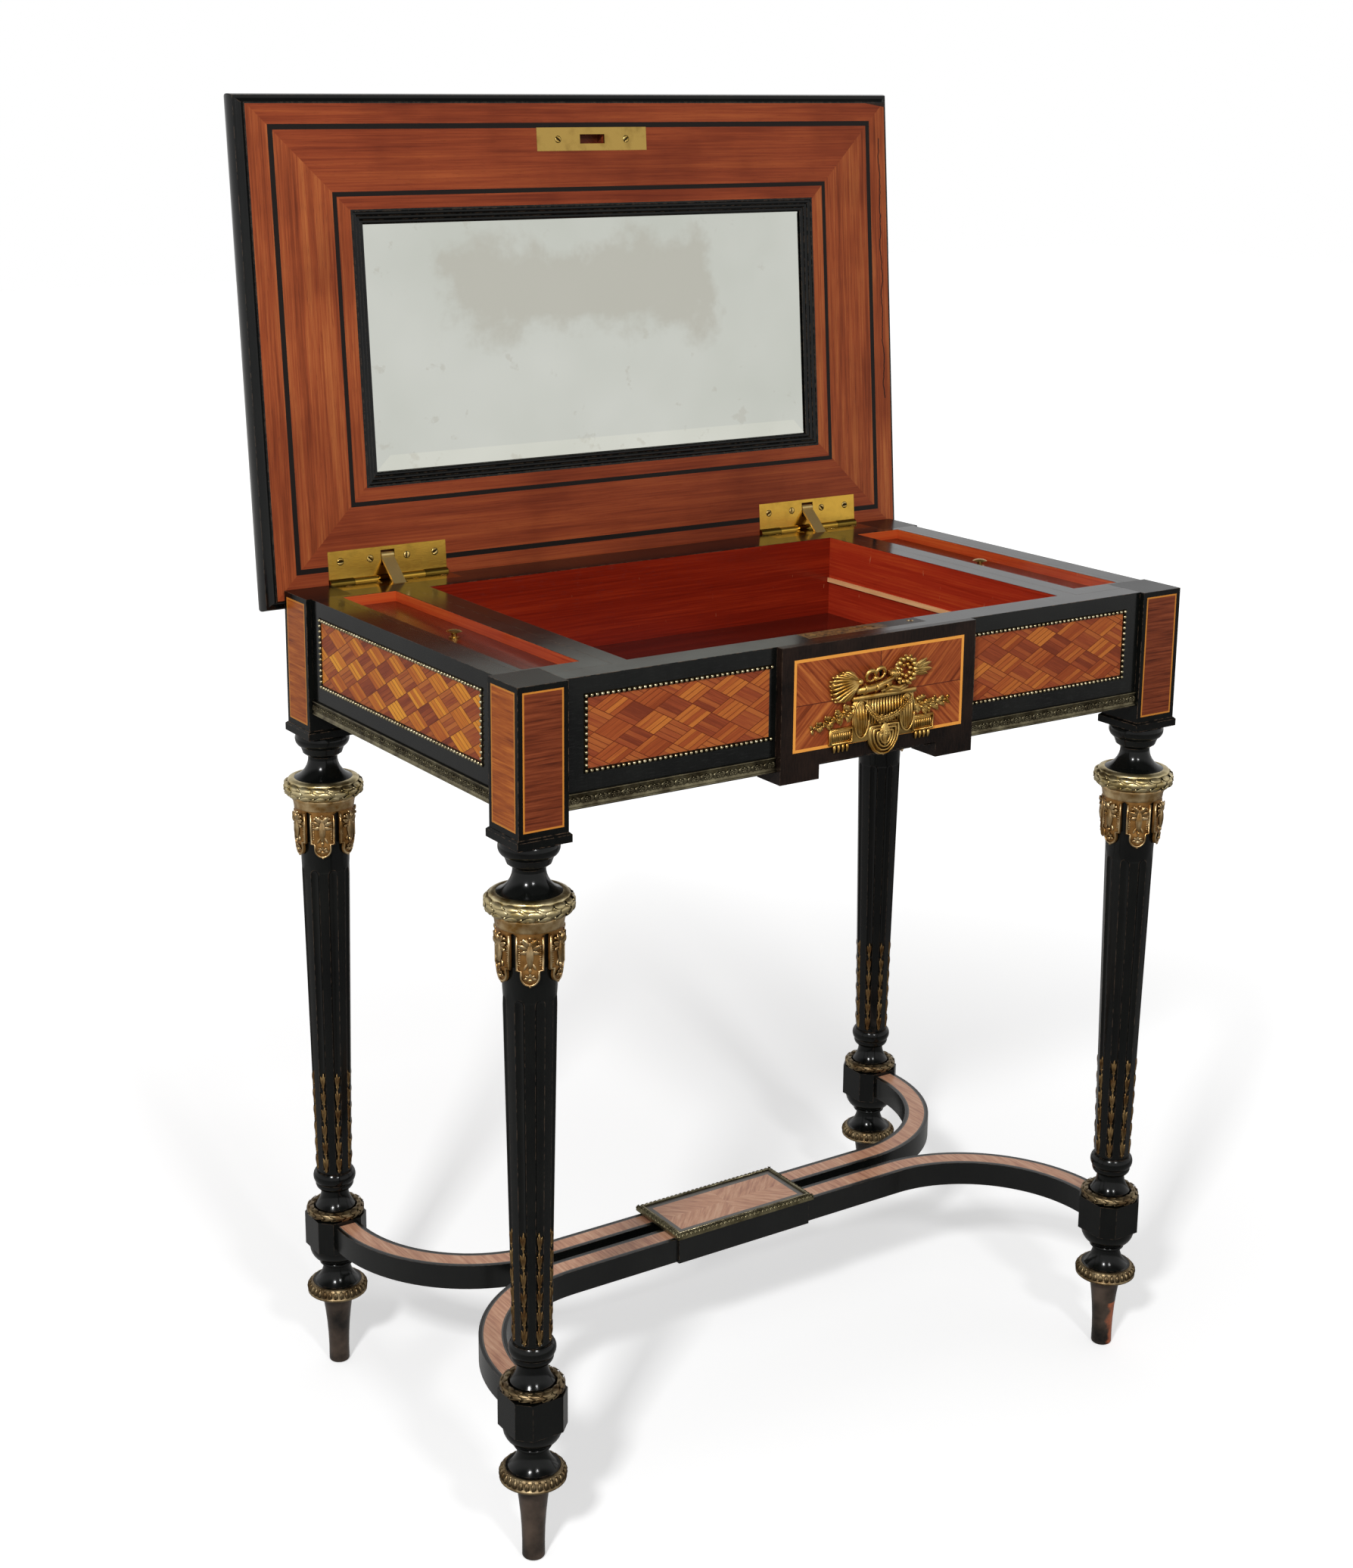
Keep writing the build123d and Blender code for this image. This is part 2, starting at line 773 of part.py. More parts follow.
for side_name, side in sides.items():
    with BuildPart() as till:
        with Locations((side * (till_in + till_mid) / 2, (till_front + till_back) / 2, well_floor)):
            Box(
                till_mid - till_in,
                till_back - till_front,
                till_h,
                align=(Align.CENTER, Align.CENTER, Align.MIN),
            )
        with Locations((side * (till_in + till_out) / 2, 0, well_floor)):
            Box(
                till_out - till_in,
                2 * (post_in_y - fit_gap),
                till_h,
                align=(Align.CENTER, Align.CENTER, Align.MIN),
            )
        with Locations((side * recess_x, recess_y, ledge_z)):
            Box(
                recess_w,
                recess_l,
                till_h,
                align=(Align.CENTER, Align.CENTER, Align.MIN),
                mode=Mode.SUBTRACT,
            )
        with Locations((side * recess_x, recess_y, well_floor + till_floor_t)):
            Box(
                recess_w - 2 * till_ledge,
                recess_l - 2 * till_ledge,
                till_h,
                align=(Align.CENTER, Align.CENTER, Align.MIN),
                mode=Mode.SUBTRACT,
            )
    save(till, f"till_{side_name}")

    with BuildPart() as till_cover:
        with Locations((side * recess_x, recess_y, ledge_z)):
            Box(
                recess_w - 2 * cover_gap,
                recess_l - 2 * cover_gap,
                cover_t,
                align=(Align.CENTER, Align.CENTER, Align.MIN),
            )
    save(till_cover, f"till_cover_{side_name}")

    knob_plane = Plane(origin=(side * recess_x, recess_y, cover_top), x_dir=(1, 0, 0), z_dir=(0, -1, 0))
    with BuildPart() as knob:
        with BuildSketch(knob_plane):
            with BuildLine():
                Polyline(
                    (0, knob_h),
                    (0, 0),
                    (knob_base_d / 2, 0),
                    (knob_base_d / 2, knob_base_h),
                    (knob_stem_d / 2, knob_base_h),
                    (knob_stem_d / 2, knob_h - knob_cap_h),
                    (knob_d / 2, knob_h - knob_cap_h / 2),
                )
                RadiusArc(
                    (knob_d / 2, knob_h - knob_cap_h / 2),
                    (0, knob_h),
                    -arc_radius(knob_d, knob_cap_h / 2),
                )
            make_face()
        revolve(axis=Axis((side * recess_x, recess_y, 0), (0, 0, 1)))
    save(knob, f"knob_{side_name}")

# Front tablet: a raised board on two feet that turn back under the rail, with the keyhole

tablet_y = -half_d - tablet_out
tablet_plane = Plane(origin=(0, tablet_y, 0), x_dir=(1, 0, 0), z_dir=(0, -1, 0))
tablet_bottom = rail_bottom - tablet_below
tablet_top = case_top

with BuildPart() as tablet:
    with BuildSketch(tablet_plane):
        with Locations((0, (tablet_bottom + tablet_top) / 2)):
            Rectangle(tablet_w, tablet_top - tablet_bottom)
        with Locations((0, tablet_bottom)):
            Rectangle(
                tablet_w - 2 * tablet_foot_w,
                tablet_foot_h,
                align=(Align.CENTER, Align.MIN),
                mode=Mode.SUBTRACT,
            )
        with Locations((0, case_top - keyhole_down)):
            Circle(keyhole_d / 2, mode=Mode.SUBTRACT)
        with Locations((0, case_top - keyhole_down - keyhole_slot_h / 2)):
            Rectangle(keyhole_slot_w, keyhole_slot_h, mode=Mode.SUBTRACT)
    extrude(amount=-(tablet_out + rail_inset))
    for side in sides.values():
        with Locations((side * (tablet_w - tablet_foot_w) / 2, tablet_y, tablet_bottom)):
            Box(
                tablet_foot_w,
                tablet_foot_depth,
                tablet_below,
                align=(Align.CENTER, Align.MIN, Align.MIN),
            )
save(tablet, "tablet")

# Bronze mount: a draped tablet with a pendant, side drops, swags and a diagonal trophy

mount_top = case_top - mount_down
mount_low = mount_top - mount_h
mount_mid = (mount_top + mount_low) / 2
# Shares of the mount's half width and height, outline from the pendant round to the right
mount_outline_shares = (
    (0.0, 0.0),
    (0.10, 0.04),
    (0.16, 0.22),
    (0.34, 0.20),
    (0.42, 0.08),
    (0.56, 0.10),
    (0.58, 0.30),
    (0.80, 0.22),
    (1.0, 0.42),
    (0.84, 0.56),
    (0.60, 0.62),
    (0.62, 0.86),
    (0.68, 1.0),
    (0.44, 0.94),
    (0.24, 0.80),
    (0.0, 0.74),
    (-0.26, 0.80),
    (-0.50, 0.72),
    (-0.60, 0.62),
    (-0.84, 0.56),
    (-1.0, 0.38),
    (-0.80, 0.22),
    (-0.58, 0.30),
    (-0.56, 0.10),
    (-0.42, 0.08),
    (-0.34, 0.20),
    (-0.16, 0.22),
    (-0.10, 0.04),
)
mount_rosette_share = 0.38
mount_rosette_up_share = 0.42
mount_trophy_turn = 28.0
mount_trophy_share = 0.62
mount_trophy_w_share = 0.2

with BuildPart() as mount:
    with BuildSketch(tablet_plane):
        with BuildLine():
            Polyline(
                *[(sx * mount_w / 2, mount_low + sz * mount_h) for sx, sz in mount_outline_shares],
                close=True,
            )
        make_face()
    extrude(amount=mount_base_t)
    with BuildSketch(tablet_plane.offset(mount_base_t)):
        with Locations((0, mount_low + mount_rosette_up_share * mount_h)):
            Circle(mount_rosette_share * mount_h / 2)
    extrude(amount=mount_relief / 2, taper=mount_trophy_turn)
    with BuildSketch(tablet_plane.offset(mount_base_t)):
        with Locations((0, mount_mid + mount_h / 4)):
            Rectangle(
                mount_trophy_share * mount_w,
                mount_trophy_w_share * mount_h,
                rotation=mount_trophy_turn,
            )
    extrude(amount=mount_relief, taper=mount_trophy_turn)
save(mount, "tablet_mount")

# Lock: top plate and body in the front rail, and the bolt that rises into the lid

bolt_slot_w = bolt_w + 2 * fit_gap
bolt_slot_t = bolt_t + 2 * fit_gap

with BuildPart() as lock:
    with Locations((0, lock_y, case_top)):
        Box(
            lock_plate_w - 2 * seat_gap,
            lock_plate_d - 2 * seat_gap,
            lock_plate_t,
            align=(Align.CENTER, Align.CENTER, Align.MAX),
        )
    with Locations((0, lock_body_y + seat_gap, case_top - lock_plate_t)):
        Box(
            lock_body_w - 2 * seat_gap,
            lock_plate_d - 2 * seat_gap,
            lock_body_h - seat_gap,
            align=(Align.CENTER, Align.MIN, Align.MAX),
        )
    with Locations((0, lock_y, case_top)):
        Box(
            bolt_slot_w,
            bolt_slot_t,
            bolt_l + bolt_low + fit_gap,
            align=(Align.CENTER, Align.CENTER, Align.MAX),
            mode=Mode.SUBTRACT,
        )
    with BuildSketch(tablet_plane):
        with Locations((0, case_top - keyhole_down)):
            Circle(keyhole_d / 2)
    extrude(amount=-(lock_line + tablet_out), mode=Mode.SUBTRACT)
save(lock, "lock_case")

with BuildPart() as lock_bolt:
    with Locations((0, lock_y, case_top - bolt_low)):
        Box(bolt_w, bolt_t, bolt_l, align=(Align.CENTER, Align.CENTER, Align.MAX))
    fillet(lock_bolt.faces().sort_by(Axis.Z)[-1].edges().filter_by(Axis.Y), radius=bolt_low * 4)
save(lock_bolt, "lock_bolt")

# Hinge: five knuckles on one pin; the case leaf has the odd ones, the lid leaf the even ones

hinge_y = half_d + hinge_back
hinge_z = case_top + lid_gap / 2
knuckle_l = hinge_w / knuckle_count
lean_y = sin(radians(lid_lean))
lean_z = cos(radians(lid_lean))
lid_plane = Plane(origin=(0, hinge_y, hinge_z), x_dir=(1, 0, 0), z_dir=(0, -lean_z, lean_y))
lid_face = -lid_gap / 2


def knuckles(side, first):
    """Adds every second knuckle of a hinge, starting at the given one."""
    for index in range(first, knuckle_count, 2):
        middle = side * hinge_x - hinge_w / 2 + (index + 1 / 2) * knuckle_l
        with Locations((middle, hinge_y, hinge_z)):
            Cylinder(knuckle_d / 2, knuckle_l - fit_gap, rotation=(0, 90, 0))


def knuckle_gaps(side, first):
    """Clears the places of the other leaf's knuckles."""
    for index in range(first, knuckle_count, 2):
        middle = side * hinge_x - hinge_w / 2 + (index + 1 / 2) * knuckle_l
        with Locations((middle, hinge_y, hinge_z)):
            Cylinder(
                knuckle_d / 2 + fit_gap,
                knuckle_l + fit_gap,
                rotation=(0, 90, 0),
                mode=Mode.SUBTRACT,
            )


for side_name, side in sides.items():
    with BuildPart() as case_leaf:
        with Locations((side * hinge_x, hinge_y, case_top)):
            Box(
                hinge_w - 2 * seat_gap,
                hinge_leaf - seat_gap,
                leaf_t,
                align=(Align.CENTER, Align.MAX, Align.MAX),
            )
        knuckle_gaps(side, 1)
        with Locations((side * hinge_x, slot_y, case_top)):
            Box(
                arm_slot_w,
                arm_slot_l,
                2 * leaf_t + overrun,
                mode=Mode.SUBTRACT,
            )
        knuckles(side, 0)
        with Locations((side * hinge_x, hinge_y, hinge_z)):
            Cylinder(hinge_pin_d / 2, hinge_w - 2 * seat_gap, rotation=(0, 90, 0))
    save(case_leaf, f"hinge_case_leaf_{side_name}")

    with BuildPart() as lid_leaf:
        with BuildSketch(lid_plane.offset(lid_face)):
            with Locations((side * hinge_x, 0)):
                Rectangle(
                    hinge_w - 2 * seat_gap,
                    hinge_leaf - seat_gap,
                    align=(Align.CENTER, Align.MIN),
                )
            with Locations((side * hinge_x, arm_notch_up)):
                Rectangle(arm_slot_w, arm_notch_l, mode=Mode.SUBTRACT)
        extrude(amount=-leaf_t)
        knuckle_gaps(side, 0)
        knuckles(side, 1)
        with Locations((side * hinge_x, hinge_y, hinge_z)):
            Cylinder(
                hinge_pin_d / 2 + pin_play,
                hinge_w + overrun,
                rotation=(0, 90, 0),
                mode=Mode.SUBTRACT,
            )
        with BuildSketch(lid_plane.offset(lid_face - leaf_t)):
            for hand in sides.values():
                with Locations((side * hinge_x + hand * (arm_slot_w + cheek_t) / 2, arm_notch_up)):
                    Rectangle(cheek_t, arm_notch_l)
        extrude(amount=-(arm_notch_in - leaf_t - seat_gap))
        with BuildSketch(
            Plane(
                origin=lid_plane.from_local_coords(
                    (side * hinge_x - arm_slot_w / 2 - cheek_t, arm_pivot_up, lid_face - arm_pivot_in)
                ),
                x_dir=(0, 1, 0),
                z_dir=(1, 0, 0),
            )
        ):
            Circle(arm_pin_d / 2)
        extrude(amount=arm_slot_w + 2 * cheek_t)
    save(lid_leaf, f"hinge_lid_leaf_{side_name}")

# Stop arms: a flat strap pivoted in the lid leaf, its headed tail sliding in the case leaf's slot

arm_pivot = lid_plane.from_local_coords((0, arm_pivot_up, lid_face - arm_pivot_in))
arm_dir = (0, -sin(radians(arm_lean)), -cos(radians(arm_lean)))

for side_name, side in sides.items():
    arm_plane = Plane(
        origin=(side * hinge_x, arm_pivot.Y, arm_pivot.Z),
        x_dir=arm_dir,
        z_dir=(1, 0, 0),
    )
    with BuildPart() as stop_arm:
        with BuildSketch(arm_plane):
            Circle(arm_eye_d / 2)
            Rectangle(arm_l, arm_t, align=(Align.MIN, Align.CENTER))
            Circle(arm_pin_d / 2 + pin_play, mode=Mode.SUBTRACT)
        extrude(amount=arm_w / 2, both=True)
        with BuildSketch(arm_plane):
            with Locations((arm_l, 0)):
                Circle(arm_head_d / 2)
        extrude(amount=arm_head_w / 2, both=True)
    save(stop_arm, f"stop_arm_{side_name}")

# Lid, built in the plane of its open position: local y climbs the lid, local z points to the front

lid_half_w = half_w + lid_side_over
lid_low = -(lid_back_over - hinge_back)
lid_high = case_d + hinge_back + lid_front_over
field_half_w = lid_half_w - lid_edge_w
field_low = lid_low + lid_edge_w
field_high = lid_high - lid_edge_w
field_mid = (field_low + field_high) / 2
strike_mid = case_d - lock_line + hinge_back
mirror_frame_w = 2 * (lid_half_w - mirror_side)
mirror_frame_h = strike_mid - mirror_strike_gap - mirror_up
mirror_mid = mirror_up + mirror_frame_h / 2
groove_d = knuckle_d + 2 * fit_gap

with BuildPart() as lid_panel:
    with BuildSketch(lid_plane.offset(lid_face)):
        with Locations((0, field_mid)):
            Rectangle(2 * field_half_w, field_high - field_low)
    extrude(amount=-(lid_t))
    with BuildSketch(lid_plane.offset(lid_face)):
        with Locations((0, mirror_mid)):
            Rectangle(mirror_frame_w + 2 * seat_gap, mirror_frame_h + 2 * seat_gap)
    extrude(amount=-mirror_frame_t, mode=Mode.SUBTRACT)
    with BuildSketch(lid_plane.offset(lid_face)):
        with Locations((0, strike_mid)):
            Rectangle(strike_w + 2 * seat_gap, strike_h + 2 * seat_gap)
    extrude(amount=-strike_t, mode=Mode.SUBTRACT)
    with BuildSketch(lid_plane.offset(lid_face)):
        with Locations((0, strike_mid)):
            Rectangle(strike_slot_w, strike_slot_h)
    extrude(amount=-(strike_t + bolt_travel + overrun), mode=Mode.SUBTRACT)
    for side in sides.values():
        with BuildSketch(lid_plane.offset(lid_face)):
            with Locations((side * hinge_x, 0)):
                Rectangle(hinge_w, hinge_leaf, align=(Align.CENTER, Align.MIN))
        extrude(amount=-leaf_t, mode=Mode.SUBTRACT)
        with BuildSketch(lid_plane.offset(lid_face)):
            with Locations((side * hinge_x, arm_notch_up)):
                Rectangle(arm_slot_w + 2 * cheek_t + 2 * seat_gap, arm_notch_l + 2 * seat_gap)
        extrude(amount=-arm_notch_in, mode=Mode.SUBTRACT)
        with Locations((side * hinge_x, hinge_y, hinge_z)):
            Cylinder(
                groove_d / 2,
                hinge_w + 2 * fit_gap,
                rotation=(0, 90, 0),
                mode=Mode.SUBTRACT,
            )
save(lid_panel, "lid_panel")

# The lid's moulded edge: fillet, ovolo, band and crown, mitred round the panel

band_u = lid_edge_w - lid_band_in

with BuildPart() as edge_model:
    with BuildLine() as edge_path:
        Polyline(
            (0, field_high, lid_face),
            (field_half_w, field_high, lid_face),
            (field_half_w, field_low, lid_face),
            (0, field_low, lid_face),
        )
    with BuildSketch(Plane(origin=(0, field_high, lid_face), x_dir=(0, 1, 0), z_dir=(1, 0, 0))):
        with BuildLine():
            Polyline(
                (0, -lid_t),
                (0, 0),
                (lid_edge_fillet, 0),
                (lid_edge_fillet, -lid_edge_step),
            )
            RadiusArc(
                (lid_edge_fillet, -lid_edge_step),
                (lid_edge_fillet + lid_ovolo_r, -lid_edge_step - lid_ovolo_r),
                -lid_ovolo_r,
            )
            Line(
                (lid_edge_fillet + lid_ovolo_r, -lid_edge_step - lid_ovolo_r),
                (band_u, -lid_edge_step - lid_ovolo_r),
            )
            ThreePointArc(
                (band_u, -lid_edge_step - lid_ovolo_r),
                (lid_edge_w, -(lid_t + lid_ovolo_r) / 2),
                (band_u, -lid_t + lid_crown_drop),
            )
            Polyline(
                (band_u, -lid_t + lid_crown_drop),
                (lid_edge_w - 2 * lid_band_in, -lid_t),
                (0, -lid_t),
            )
        make_face()
    sweep(path=edge_path.wire(), transition=Transition.RIGHT)
    mirror(about=Plane.YZ)

with BuildPart() as lid_moulding:
    with Locations(lid_plane.location):
        add(edge_model.part)
save(lid_moulding, "lid_moulding")

# Mirror: a bevelled glass held in a reeded and rebated frame that is let in flush with the lid

reed_w = (mirror_frame_rim - mirror_frame_flat) / frame_reeds
reed_fall = (glass_down - mirror_frame_lip) / frame_reeds
glass_rebate = mirror_frame_rim - glass_cover - seat_gap

with BuildPart() as reeded_model:
    with BuildLine() as reeded_path:
        Polyline(
            (0, mirror_mid + mirror_frame_h / 2, lid_face),
            (mirror_frame_w / 2, mirror_mid + mirror_frame_h / 2, lid_face),
            (mirror_frame_w / 2, mirror_mid - mirror_frame_h / 2, lid_face),
            (0, mirror_mid - mirror_frame_h / 2, lid_face),
        )
    with BuildSketch(
        Plane(
            origin=(0, mirror_mid + mirror_frame_h / 2, lid_face),
            x_dir=(0, -1, 0),
            z_dir=(-1, 0, 0),
        )
    ):
        with BuildLine():
            Polyline(
                (glass_rebate, -glass_down),
                (glass_rebate, -mirror_frame_t),
                (0, -mirror_frame_t),
                (0, 0),
                (mirror_frame_flat, 0),
            )
            for reed in range(frame_reeds):
                reed_u = mirror_frame_flat + reed * reed_w
                reed_down = reed * reed_fall
                Line((reed_u, -reed_down), (reed_u, -reed_down - reed_quirk))
                ThreePointArc(
                    (reed_u, -reed_down - reed_quirk),
                    (reed_u + reed_w / 2, reed_proud - reed_down - (reed_quirk + reed_fall) / 2),
                    (reed_u + reed_w, -reed_down - reed_fall),
                )
            Polyline(
                (mirror_frame_rim, -frame_reeds * reed_fall),
                (mirror_frame_rim, -glass_down),
                (glass_rebate, -glass_down),
            )
        make_face()
    sweep(path=reeded_path.wire(), transition=Transition.RIGHT)
    mirror(about=Plane.YZ)

with BuildPart() as mirror_frame:
    with Locations(lid_plane.location):
        add(reeded_model.part)
save(mirror_frame, "mirror_frame")

with BuildPart() as mirror_glass:
    with BuildSketch(lid_plane.offset(lid_face - glass_down - seat_gap)):
        with Locations((0, mirror_mid)):
            Rectangle(
                mirror_frame_w - 2 * mirror_frame_rim + 2 * glass_cover,
                mirror_frame_h - 2 * mirror_frame_rim + 2 * glass_cover,
            )
    extrude(amount=-glass_t)
    glass_front = mirror_glass.faces().sort_by(Axis(lid_plane.origin, lid_plane.z_dir))[-1]
    chamfer(
        glass_front.edges(),
        length=glass_bevel_w + glass_cover,
        length2=glass_bevel_t,
        reference=glass_front,
    )
save(mirror_glass, "mirror_glass")

with BuildPart() as strike_plate:
    with BuildSketch(lid_plane.offset(lid_face)):
        with Locations((0, strike_mid)):
            Rectangle(strike_w, strike_h)
            Rectangle(strike_slot_w, strike_slot_h, mode=Mode.SUBTRACT)
    extrude(amount=-strike_t)
save(strike_plate, "strike_plate")

# Stretcher: each rail leaves a front or back block, bows round and runs along the other

rail_line = (stretcher_gap + stretcher_w) / 2
block_face_y = leg_y - block_w / 2
bow_r = block_face_y - stretcher_straight - rail_line

for end_name, end in {"front": -1, "back": 1}.items():
    with BuildPart() as stretcher:
        with BuildLine() as stretcher_path:
            Line(
                (-leg_x, end * block_face_y, stretcher_top),
                (-leg_x, end * (rail_line + bow_r), stretcher_top),
            )
            RadiusArc(
                (-leg_x, end * (rail_line + bow_r), stretcher_top),
                (-leg_x + bow_r, end * rail_line, stretcher_top),
                -end * bow_r,
            )
            Line(
                (-leg_x + bow_r, end * rail_line, stretcher_top),
                (leg_x - bow_r, end * rail_line, stretcher_top),
            )
            RadiusArc(
                (leg_x - bow_r, end * rail_line, stretcher_top),
                (leg_x, end * (rail_line + bow_r), stretcher_top),
                -end * bow_r,
            )
            Line(
                (leg_x, end * (rail_line + bow_r), stretcher_top),
                (leg_x, end * block_face_y, stretcher_top),
            )
        with BuildSketch(
            Plane(origin=(-leg_x, end * block_face_y, stretcher_top), x_dir=(1, 0, 0), z_dir=(0, -end, 0))
        ):
            with Locations((0, -end * stretcher_h / 2)):
                Rectangle(stretcher_w, stretcher_h)
        sweep(path=stretcher_path.wire())
    save(stretcher, f"stretcher_{end_name}")

# Platform over the two rails, with its moulded bronze edge

platform_top = stretcher_top + platform_rise + platform_edge_h
platform_bottom = stretcher_top - stretcher_h - platform_drop

with BuildPart() as platform:
    with Locations((0, 0, platform_bottom)):
        Box(
            platform_w,
            platform_d,
            platform_top - platform_field_down - platform_bottom,
            align=(Align.CENTER, Align.CENTER, Align.MIN),
        )
    for end in sides.values():
        with Locations((0, end * rail_line, stretcher_top)):
            Box(
                platform_w + overrun,
                stretcher_w,
                stretcher_h,
                align=(Align.CENTER, Align.CENTER, Align.MAX),
                mode=Mode.SUBTRACT,
            )
save(platform, "platform")

with BuildPart() as platform_moulding:
    with BuildSketch(Plane.XY.offset(platform_top - platform_edge_h)):
        Rectangle(platform_edge_w, platform_edge_d)
    extrude(amount=platform_edge_h)
    chamfer(
        platform_moulding.faces().sort_by(Axis.Z)[-1].edges(),
        length=platform_edge_h / 2,
    )
    with BuildSketch(Plane.XY.offset(platform_top - platform_edge_h)):
        Rectangle(platform_w, platform_d)
    extrude(amount=platform_edge_h - platform_field_down, mode=Mode.SUBTRACT)
    with BuildSketch(Plane.XY.offset(platform_top - platform_edge_h)):
        Rectangle(platform_edge_w - 2 * platform_edge_rim, platform_edge_d - 2 * platform_edge_rim)
    extrude(amount=platform_edge_h, mode=Mode.SUBTRACT)
save(platform_moulding, "platform_moulding")
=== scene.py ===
"""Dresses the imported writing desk: its woods, gilt bronze, brass, mirror and the studio round it."""

import logging
from dataclasses import dataclass, field
from enum import Enum
from functools import cache
from math import atan2, cos, hypot, pi, radians, sin
from typing import Any, Callable, Protocol, Sequence

import bmesh
import bpy
from mathutils import Matrix, Vector


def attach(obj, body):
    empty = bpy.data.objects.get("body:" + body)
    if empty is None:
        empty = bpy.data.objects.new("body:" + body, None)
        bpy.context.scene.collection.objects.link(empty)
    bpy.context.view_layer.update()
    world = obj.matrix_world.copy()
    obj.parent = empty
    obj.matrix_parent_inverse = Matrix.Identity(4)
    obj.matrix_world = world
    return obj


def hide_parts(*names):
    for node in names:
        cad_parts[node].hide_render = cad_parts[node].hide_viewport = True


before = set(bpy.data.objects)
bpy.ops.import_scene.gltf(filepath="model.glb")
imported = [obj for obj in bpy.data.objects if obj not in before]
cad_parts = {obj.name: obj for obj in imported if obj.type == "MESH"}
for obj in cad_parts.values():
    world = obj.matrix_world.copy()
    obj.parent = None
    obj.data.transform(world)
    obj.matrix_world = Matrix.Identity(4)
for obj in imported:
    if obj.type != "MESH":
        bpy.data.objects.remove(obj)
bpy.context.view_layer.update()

log = logging.getLogger("writing_desk")

# Pieces are drawn in millimetres from the floor below the middle of the case, as the desk was measured.
ORIGIN_BACK = 24.7
MM = 0.001
LEAN = radians(4.8)
HINGE_Y = 199.0
HINGE_Z = 722.2
LEG_X = 308.5
LEG_Y = 176.0
ACROSS, DEEP, UP = (1.0, 0.0, 0.0), (0.0, 1.0, 0.0), (0.0, 0.0, 1.0)
CORNERS = {"front_left": (-1, -1), "front_right": (1, -1), "back_left": (-1, 1), "back_right": (1, 1)}

# Values that several finishes share: white, the roughness of noise, the mirror of worn veneer, and half
# the diagonal of a square.
WHITE = (1.0, 1.0, 1.0, 1.0)
SOFT = 0.55
VENEER_GLOSS = 0.12
DIAGONAL = 0.7

Vec = tuple[float, float, float]
Spot = tuple[float, float]
Surface = Callable[[float, float, float], Vec]


def linear(colour: str) -> tuple[float, float, float, float]:
    """Turns an sRGB hex colour into linear light.

    Args:
        colour: Six hex digits after a hash sign.

    Returns:
        Red, green, blue and an alpha of one.
    """
    parts = [int(colour[i : i + 2], 16) / 255 for i in (1, 3, 5)]
    lin = [p / 12.92 if p <= 0.04045 else ((p + 0.055) / 1.055) ** 2.4 for p in parts]
    return lin[0], lin[1], lin[2], 1.0


def lid_point(x: float, up: float, out: float) -> Vec:
    """Places a point of the open lid.

    Args:
        x: Millimetres to the right of the middle.
        up: Millimetres up the lid from the hinge axis.
        out: Millimetres out of the lid's inner face, towards the front.

    Returns:
        The point in case millimetres.
    """
    out -= 0.2
    return x, HINGE_Y + up * sin(LEAN) - out * cos(LEAN), HINGE_Z + up * cos(LEAN) + out * sin(LEAN)


